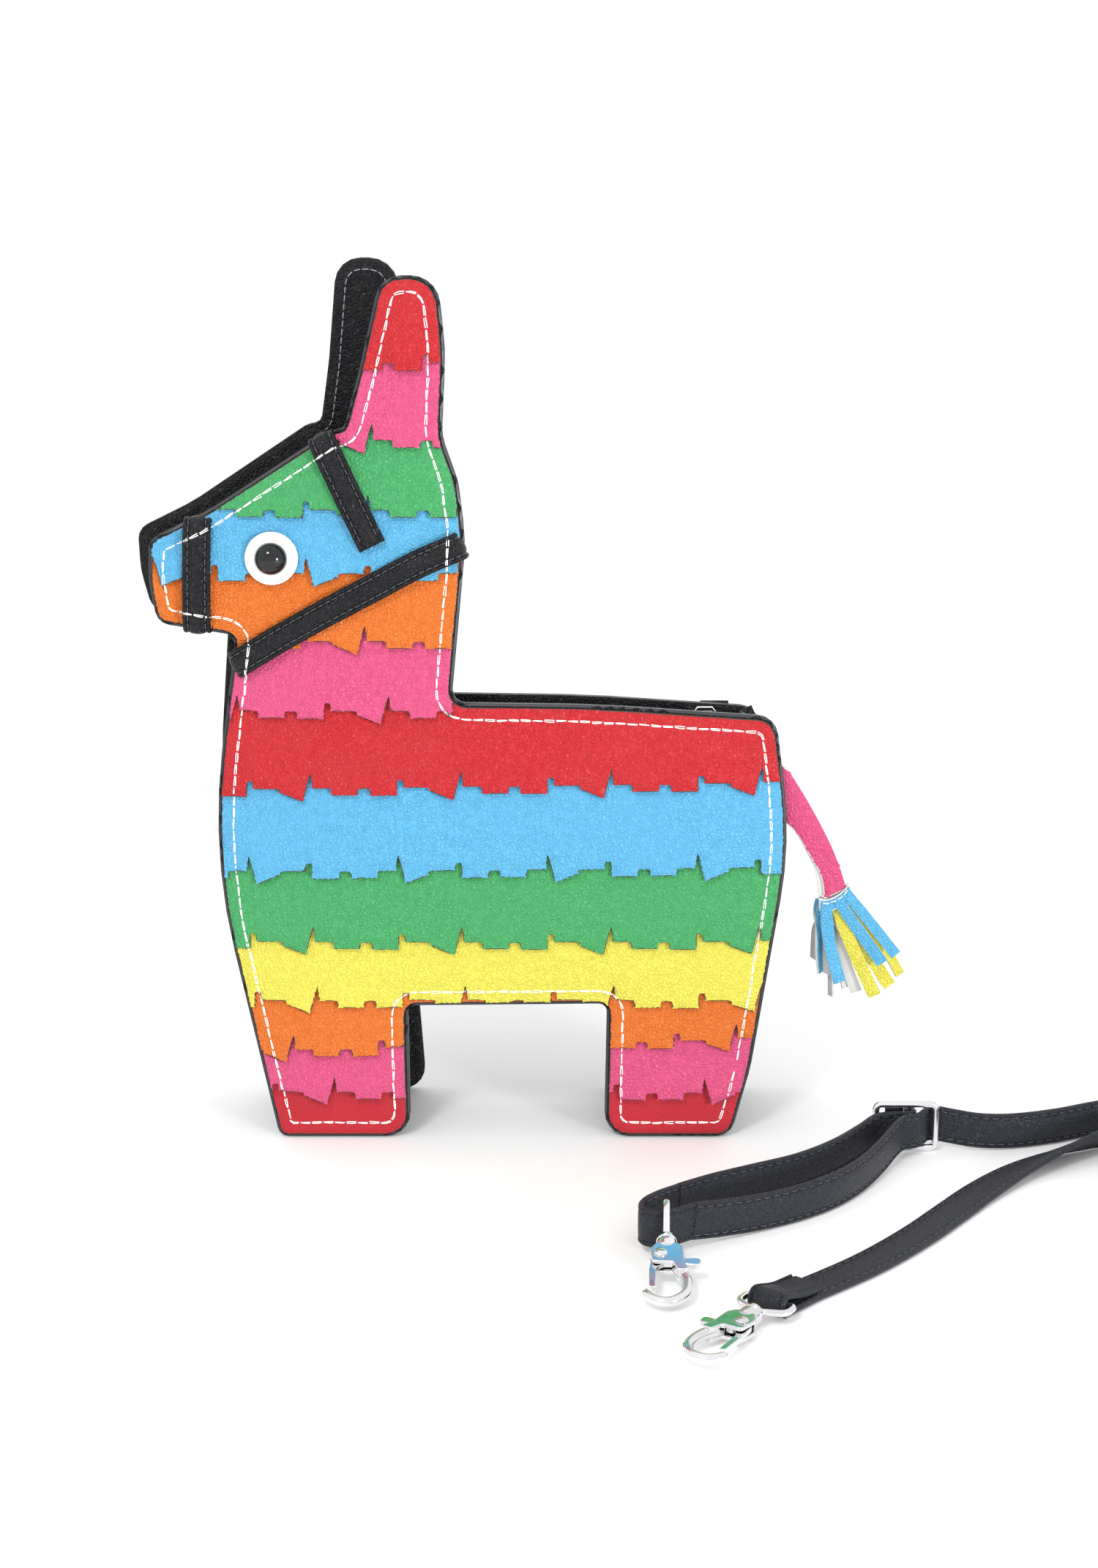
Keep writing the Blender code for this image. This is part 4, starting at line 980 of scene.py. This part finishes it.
def cut_plate(name, matrix, outline, low, high, material, soft=0.25):
    """A flat piece cut to an outline in its own plane, with softened edges."""
    count = len(outline)
    verts = [(matrix @ Vector((p.x, p.y, z))) * MM for z in (low, high) for p in outline]
    faces = [tuple(range(count))[::-1], tuple(range(count, 2 * count))]
    faces += [(i, (i + 1) % count, count + (i + 1) % count, count + i) for i in range(count)]
    return soften(make(name, verts, faces, [material], sharp=28), soft)


def turned(name, matrix, profile, material, sides=40):
    """A round piece about its own z axis, from a profile of (radius, z)."""
    verts = []
    for radius, z in profile:
        for i in range(sides):
            angle = 2 * math.pi * i / sides
            verts.append((matrix @ Vector((radius * math.cos(angle), radius * math.sin(angle), z))) * MM)
    return make(name, verts, tube_faces(len(profile), sides), [material], sharp=32)


def bent_wire(name, matrix, line, radii, material, loop=False):
    """A round wire along a flat line in its own plane."""
    verts = []
    for i, point in enumerate(line):
        across = heading(line, i, loop).cross(Vector((0, 0, 1)))
        radius = radii[i] if isinstance(radii, list) else radii
        for k in range(WIRE_SIDES):
            angle = 2 * math.pi * k / WIRE_SIDES
            place = point + across * (radius * math.cos(angle)) + Vector((0, 0, radius * math.sin(angle)))
            verts.append((matrix @ place) * MM)
    return make(name, verts, tube_faces(len(line), WIRE_SIDES, loop), [material])


def joined(first, *others):
    """Several pieces as one object, with their edges already softened."""
    bpy.context.view_layer.update()
    graph = bpy.context.evaluated_depsgraph_get()
    bm = bmesh.new()
    for thing in (first, *others):
        finished = thing.evaluated_get(graph).to_mesh()
        bm.from_mesh(finished)
        thing.evaluated_get(graph).to_mesh_clear()
    mesh = bpy.data.meshes.new(first.name)
    bm.to_mesh(mesh)
    bm.free()
    mesh.materials.append(first.data.materials[0])
    name = first.name
    for thing in (first, *others):
        bpy.data.objects.remove(thing)
    result = bpy.data.objects.new(name, mesh)
    result.name = name
    SCENE.collection.objects.link(result)
    return result


def softened(node, width, material, body):
    """A CAD piece's shape with small rounded edges."""
    bm = bmesh.new()
    bm.from_mesh(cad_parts[node].data)
    bmesh.ops.remove_doubles(bm, verts=bm.verts, dist=2e-6)
    bmesh.ops.dissolve_limit(bm, angle_limit=math.radians(2), verts=bm.verts, edges=bm.edges)
    mesh = bpy.data.meshes.new("soft_" + node)
    bm.to_mesh(mesh)
    bm.free()
    mesh.materials.append(material)
    mesh.shade_smooth()
    mesh.set_sharp_from_angle(angle=math.radians(28))
    thing = bpy.data.objects.new("soft_" + node, mesh)
    SCENE.collection.objects.link(thing)
    return finish(soften(thing, width), body, (node,))


# Eye

EYE_AT = (-76.7, 187.0)


def in_millimetres(side):
    return Matrix.Translation(side.matrix.translation / MM) @ side.matrix.to_3x3().to_4x4()


def add_eye():
    """A domed white disc under a glossy black half ball."""
    place = in_millimetres(FRONT) @ Matrix.Translation((*EYE_AT, 0))
    white = [(1.8, 3.6), (7.7, 3.6), (8.1, 3.75), (8.2, 4.1), (8.1, 4.5), (7.7, 4.85), (6.8, 5.1), (5.2, 5.2),
             (1.8, 5.2)]
    finish(turned("eye_disc", place, white, M["eye_white"], 64), "bag", ("eye_white",))
    dome = [(0.02, -4.6), (1.5, -4.6), (1.6, -4.4), (1.6, 5.1), (4.6, 5.1), (4.9, 5.25), (5.0, 5.6)]
    dome += [(5.0 * math.cos(a), 5.6 + 4.3 * math.sin(a)) for a in np.radians(np.arange(8, 89, 8))]
    dome += [(0.02, 9.9)]
    finish(turned("eye_ball", place, dome, M["eye_black"], 56), "bag", ("eye_dome",))


# Tail and tassel

TAIL = Side(-11.3, 0.0, 1)
COLLAR_AT = (98.9, 79.5)
TAIL_LEFT = [(79.2, 107.0), (83.0, 102.4), (86.0, 99.4), (90.7, 92.0), (94.6, 84.9), (96.0, 76.8)]
TAIL_RIGHT = [(103.2, 80.6), (101.2, 87.0), (97.8, 95.3), (91.9, 106.5), (86.4, 115.6), (83.6, 119.3),
              (79.2, 121.3)]
TAIL_BACKING = [(90.0, 92.4), (93.0, 85.6), (94.3, 77.4)]  # the backing's left edge below the bag
# Each finger: its line from the collar's middle, width, height of its root and end over the tail's middle,
# and how far it is turned on its own line in degrees
BLUE_FINGERS = [
    ([(3.9, 0.0), (6.4, -3.2), (13.4, -12.0), (20.1, -20.3)], 3.5, 1.6, 3.4, 4),
    ([(1.5, -2.0), (3.4, -5.6), (9.1, -13.9), (16.0, -23.3)], 3.9, 1.7, 2.6, -5),
    ([(-2.2, -3.2), (-2.0, -9.0), (-0.6, -18.3), (2.6, -29.9)], 4.1, 1.6, 2.2, 14),
    ([(-3.3, -5.2), (-3.8, -11.0), (-4.0, -19.9), (-3.0, -28.3)], 3.6, -0.8, -2.6, 58),
    ([(-3.8, -3.5), (-4.8, -9.0), (-5.3, -16.2), (-5.2, -24.1)], 3.4, -1.7, -4.5, 112),
]
YELLOW_FINGERS = [
    ([(0.9, -3.0), (3.1, -10.0), (7.9, -21.7), (14.2, -35.0)], 4.2, 0.0, 0.9, -8),
    ([(2.6, -3.0), (6.0, -10.8), (12.4, -21.7), (19.1, -32.4)], 4.3, -0.9, -1.4, 6),
    ([(4.3, -1.6), (10.2, -10.6), (18.6, -22.2), (22.8, -29.6)], 3.2, -1.8, -4.8, 24),
    ([(0.4, -3.0), (1.6, -12.0), (4.7, -24.3), (8.8, -35.0)], 3.6, -1.7, -3.4, 170),
    ([(-0.4, -3.0), (0.0, -14.0), (0.3, -26.0), (0.8, -36.9)], 2.6, -2.4, -5.2, 118),
    ([(-1.6, -3.0), (-2.0, -11.0), (-1.7, -20.0), (-1.1, -28.5)], 2.8, -2.2, -2.4, 122),
    ([(1.0, -3.0), (2.4, -14.0), (4.0, -25.0), (5.6, -33.7)], 3.4, -2.6, -4.4, 205),
]
COLLAR = [(-4.6, -1.9), (-2.7, -2.5), (0.0, -1.7), (2.7, 0.2), (4.6, 2.3), (5.6, 0.2), (6.7, -2.6),
          (4.0, -4.4), (1.4, -5.4), (-0.6, -6.2), (-4.1, -6.6), (-4.5, -4.0)]


def tail_height(x, s):
    """The tail leans out towards the viewer a little and twists as it falls."""
    down = np.clip((121 - s) / 42, 0, 1)
    return 0.9 * np.sin(down * 2.6) + 0.35 * rolling(x, s, 14, 5.0)


def add_tail():
    left, right = flat_route(TAIL_LEFT, 1.0), flat_route(TAIL_RIGHT, 1.0)
    hidden = flat_route(TAIL_LEFT[:3] + TAIL_BACKING, 1.0)

    def face(x, s):
        rise = tail_height(x, s)
        return rise + 0.05, rise + 0.8

    def backing(x, s):
        rise = tail_height(x, s)
        return rise - 0.8, rise - 0.05

    def layer(name, outline, heights, materials, step):
        return slab(name, outline, TAIL, heights, [M[material] for material in materials], step, 0.35, 0.2)

    front = layer("tail_face", np.array(left + right), face, ("pink", "suede", "suede"), 2.2)
    back = layer("tail_backing", np.array(hidden + right), backing, ("suede", "suede", "pink"), 2.2)
    for thing, replaced in ((front, "tail_root"), (back, "tail_strap")):
        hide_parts(replaced)
        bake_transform(thing)
    fingers("tassel_blue_cut", BLUE_FINGERS, "blue", "tassel_blue")
    fingers("tassel_yellow_cut", YELLOW_FINGERS, "yellow", "tassel_yellow")

    def collar_front(x, s):
        return tail_height(x, s) + 0.9, tail_height(x, s) + 1.75

    def collar_back(x, s):
        return tail_height(x, s) - 1.75, tail_height(x, s) - 0.9

    loop = anticlockwise(np.array(flat_route(COLLAR + COLLAR[:1], 0.7)[:-1])) + np.array(COLLAR_AT)
    over = layer("tassel_collar", loop, collar_front, ("blue", "suede", "suede"), 2.0)
    under = layer("tassel_collar_back", loop, collar_back, ("suede", "suede", "blue"), 2.0)
    for thing in (over, under):
        finish(thing, "tail")
    line = smooth_route([(COLLAR_AT[0] + x, COLLAR_AT[1] + s, 2.75) for x, s in
                         ((-3.6, -3.4), (-1.8, -3.5), (0.6, -2.6), (2.8, -1.0), (4.6, 1.0))], 0.6)
    stitches("tassel_stitches", [([TAIL.at(*p) / MM for p in line], [TAIL.normal()] * len(line))],
             M["white_thread"], "tail", 2.4, 1.7, 0.2, wander=0.15)


def fingers(name, specs, colour, node):
    """Narrow cut strips hanging from the collar, coloured in front and pale behind."""
    verts, faces, which = [], [], []
    for route, width, root, end, turn in specs:
        line = smooth_route([(COLLAR_AT[0] + x, COLLAR_AT[1] + s, 0) for x, s in route], 1.6)
        count = len(line)
        base = len(verts)
        for i, point in enumerate(line):
            t = i / (count - 1)
            ahead = heading(line, i)
            angle = math.radians(turn) * smooth(t * 1.8)
            flat = Vector((ahead.y, -ahead.x, 0))
            across = flat * math.cos(angle) + Vector((0, 0, 1)) * math.sin(angle)
            up = Vector((0, 0, 1)) * math.cos(angle) - flat * math.sin(angle)
            middle = point + Vector((0, 0, root + (end - root) * t * t + 0.5 * math.sin(5 * t + root)))
            half = width / 2 * (0.9 + 0.1 * smooth(t * 3))
            section = [(-half, 0.36), (-half * 0.5, 0.46), (half * 0.5, 0.46), (half, 0.36), (half, -0.4),
                       (-half, -0.4)]
            verts += [TAIL.at(*(middle + across * a + up * b)) for a, b in section]
        faces += tube_faces(count, 6, base=base)
        which += [0, 0, 0, 1, 1, 1] * (count - 1) + [1, 1]
    thing = make(name, verts, faces, [M[colour], M["suede"]], which, 40)
    finish(thing, "tail", (node,))


# Zip and rings on the back

def add_zip():
    for name in ("front", "back"):
        softened("zip_teeth_" + name, 0.3, M["nylon"], "bag")
    softened("zip_top_stop", 0.3, M["metal"], "bag")
    softened("zip_bottom_stop", 0.3, M["metal"], "bag")
    softened("zip_slider", 0.25, M["metal"], "slider")
    softened("zip_puller", 0.2, M["metal"], "puller")


def add_bag_rings():
    back = in_millimetres(BACK)
    quarter = Matrix.Rotation(-math.pi / 2, 4, "Z")
    outline = [(0, 7.0, 1.2), (5.4, 7.0, 4.0), (12.0, 1.96, 2.4), (12.0, -1.96, 2.4), (5.4, -7.0, 4.0),
               (0, -7.0, 1.2)]
    for name, x in RING_PLACES.items():
        hinge = back @ Matrix.Translation((x, RING_ROW, -2.7)) @ quarter
        ring = bent_wire("ring_" + name, hinge, rounded(outline, 8), 1.0, M["metal"], loop=True)
        finish(ring, name + "_ring", ("d_ring_" + name,))
        softened("tab_" + name, 0.35, M["black"], "bag")
        rows = []
        for across in (-3.5, 3.5):
            line = [back @ Vector((x + across, RING_ROW + up, -2.05)) for up in (2.0, 6.0, 10.0, 13.0)]
            rows.append((line, [BACK.normal()] * 4))
        stitches("tab_stitches_" + name, rows, M["black_thread"], "bag", 2.6, 2.0, 0.22)


# Swivel hooks and buckle

RING_BAR = -9.0
RING_HALF = 7.4
LEVER_PIN = (10.3, 1.8)
ALONG_X = Matrix.Rotation(math.pi / 2, 4, "Y")


def add_clasp(number, place, roll):
    """One swivel hook: its ring, hook, sprung lever and rivet."""
    tag = "clasp_%d_" % number
    body = "hook_%d" % number
    metal = M["metal"]
    ring_place = place @ Matrix.Rotation(roll, 4, "X")
    shoulder = RING_BAR + 4.9
    loop = rounded([(RING_BAR, RING_HALF, 1.6), (shoulder, RING_HALF, 3), (-1.5, 1.6, 1.5), (-1.5, -1.6, 1.5),
                    (shoulder, -RING_HALF, 3), (RING_BAR, -RING_HALF, 1.6)], 8)
    ring = bent_wire(tag + "wire", ring_place, loop, 1.0, metal, loop=True)
    stem = [(0.9, -1.6), (1.15, -1.2), (1.15, 2.1), (1.95, 2.2), (1.95, 3.5), (1.5, 3.8), (0.05, 3.8)]
    ring = joined(ring, turned(tag + "stem", place @ ALONG_X, stem, metal, 24))
    finish(ring, body + "_ring", (tag + "ring",))

    barrel = [(1.5, 1.2), (1.5, 0.1), (2.6, 0.0), (2.95, 0.3), (3.0, 1.5), (2.75, 1.75), (2.75, 2.1),
              (3.0, 2.4), (3.0, 5.2), (2.7, 6.0), (0.05, 6.2)]
    hook = turned(tag + "barrel", place @ ALONG_X, barrel, metal, 40)
    cheek = rounded([(4.6, -3.0, 1), (7.0, -4.6, 1.5), (14.0, -4.9, 2), (18.2, -6.2, 1), (18.6, -3.0, 1),
                     (14.6, -1.6, 1), (14.4, 4.0, 1.5), (8.0, 4.8, 2), (4.6, 3.0, 1)])
    spine = rounded([(13.6, -4.7, 0.3), (18.0, -6.0, 0.5), (18.3, -3.2, 0.5), (14.6, -1.8, 0.5),
                     (13.6, -1.3, 0.3)])
    heel = rounded([(4.8, -2.8, 0.5), (6.7, -4.2, 0.5), (6.7, 4.2, 0.5), (4.8, 2.8, 0.5)])
    claw = smooth_route([(15.6, -3.6, 0), (18.0, -4.7, 0), (22.5, -5.6, 0), (27.5, -4.9, 0), (31.0, -1.2, 0),
                         (30.8, 2.6, 0), (28.6, 5.2, 0), (25.6, 6.1, 0)], 0.8)
    radii = [1.7 - 0.3 * smooth(i / len(claw)) for i in range(len(claw))]
    radii[-3:] = [1.3, 1.0, 0.5]
    hook = joined(hook, cut_plate(tag + "cheek_a", place, cheek, -2.3, -1.1, metal, 0.4),
                  cut_plate(tag + "cheek_b", place, cheek, 1.1, 2.3, metal, 0.4),
                  cut_plate(tag + "spine", place, spine, -1.3, 1.3, metal, 0.1),
                  cut_plate(tag + "heel", place, heel, -1.3, 1.3, metal, 0.1),
                  bent_wire(tag + "claw", place, claw, radii, metal))
    finish(hook, body, (tag + "hook",))

    arm = [(8.0, 1.6, 1.2), (8.6, 4.2, 1.5), (16.0, 5.0, 4), (24.9, 5.0, 1), (25.2, 3.2, 1), (15.0, 2.9, 3),
           (13.2, 0.8, 1), (13.2, -4.6, 0.8), (14.0, -9.6, 1.8), (10.2, -9.6, 1.8), (10.5, -4.6, 0.8),
           (10.5, -0.6, 1)]
    lever = cut_plate(tag + "gate", place, rounded(arm), -0.8, 0.8, metal, 0.3)
    finish(lever, body + "_lever", (tag + "lever",))

    pin = place @ Matrix.Translation((*LEVER_PIN, 0))
    heads = [(0.05, -3.2), (1.0, -3.15), (1.6, -2.95), (1.9, -2.6), (1.8, -2.35), (0.95, -2.3), (0.95, 2.3),
             (1.8, 2.35), (1.9, 2.6), (1.6, 2.95), (1.0, 3.15), (0.05, 3.2)]
    rivet = turned(tag + "pin", pin, heads, metal, 28)
    finish(rivet, body, (tag + "rivet",))
    return [ring, hook, lever, rivet]


def add_buckle():
    """The slider: a wire frame on edge round the strap, with a centre bar."""
    half, tall = 9.5, 7.3
    place = Matrix.Translation(BUCKLE_AT) @ Matrix.Rotation(math.pi / 2, 4, "X")
    outline = rounded([(-half, -tall, 2), (-half, tall, 2), (half, tall, 2), (half, -tall, 2)], 6)
    frame_wire = bent_wire("slider_frame", place, outline, 1.1, M["metal"], loop=True)
    bar = bent_wire("slider_bar", place, [Vector((0, -tall, 0)), Vector((0, tall, 0))], 1.0, M["metal"])
    return finish(joined(frame_wire, bar), "bag", ("buckle",))


add_panels()
SEAM_LINE = shell_seam()
for gusset in GUSSETS:
    add_gusset(gusset, SEAM_LINE)
STRIPS = [add_strip(node, colour, 10.0 + 3 * i) for i, (node, colour) in enumerate(STRIP_SLOTS.items())]
add_seams(STRIPS + add_bridle())
add_eye()
add_tail()
add_zip()
add_bag_rings()
add_strap(add_clasp(1, CLASP_1, math.pi / 2) + add_clasp(2, CLASP_2, 0.0), add_buckle())
for node, material in {"lining_front": "lining", "lining_back": "lining", "zip_tape_front": "tape",
                       "zip_tape_back": "tape", "eye_washer": "washer"}.items():
    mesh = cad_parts[node].data
    mesh.materials.clear()
    mesh.materials.append(M[material])


# Stage

def add_stage():
    """A white floor and plain soft studio light."""
    n = Nodes("floor")
    cloud = n.noise(3.0, 2.0)
    n.link(n.mix(cloud.outputs["Fac"], (0.985, 0.99, 0.995), (1.0, 1.0, 1.0)), n.shader.inputs["Base Color"])
    n.shader.inputs["Roughness"].default_value = 0.6
    mesh = bpy.data.meshes.new("floor")
    size = 6.0
    corners = [(-size, -size, 0), (size, -size, 0), (size, size, 0), (-size, size, 0)]
    mesh.from_pydata(corners, [], [(0, 1, 2, 3)])
    mesh.materials.append(n.material)
    floor = bpy.data.objects.new("floor", mesh)
    SCENE.collection.objects.link(floor)

    world = bpy.data.worlds.new("world")
    SCENE.world = world
    world.use_nodes = True
    background = world.node_tree.nodes["Background"]
    background.inputs["Color"].default_value = (1.0, 1.0, 1.0, 1)
    background.inputs["Strength"].default_value = 1.05
    lights = {
        "key": ((-0.5, -1.1, 1.3), 0.3, 8.0),
        "glint": ((0.85, -1.0, 0.24), 0.2, 8.0),
    }
    for name, (place, size, power) in lights.items():
        data = bpy.data.lights.new(name, "AREA")
        data.size = size
        data.energy = power
        lamp = bpy.data.objects.new(name, data)
        lamp.location = place
        lamp.rotation_euler = (Vector(place) - Vector((0, 0, 0.1))).to_track_quat("Z", "Y").to_euler()
        SCENE.collection.objects.link(lamp)
    SCENE.view_settings.view_transform = "Standard"


add_camera()
add_stage()
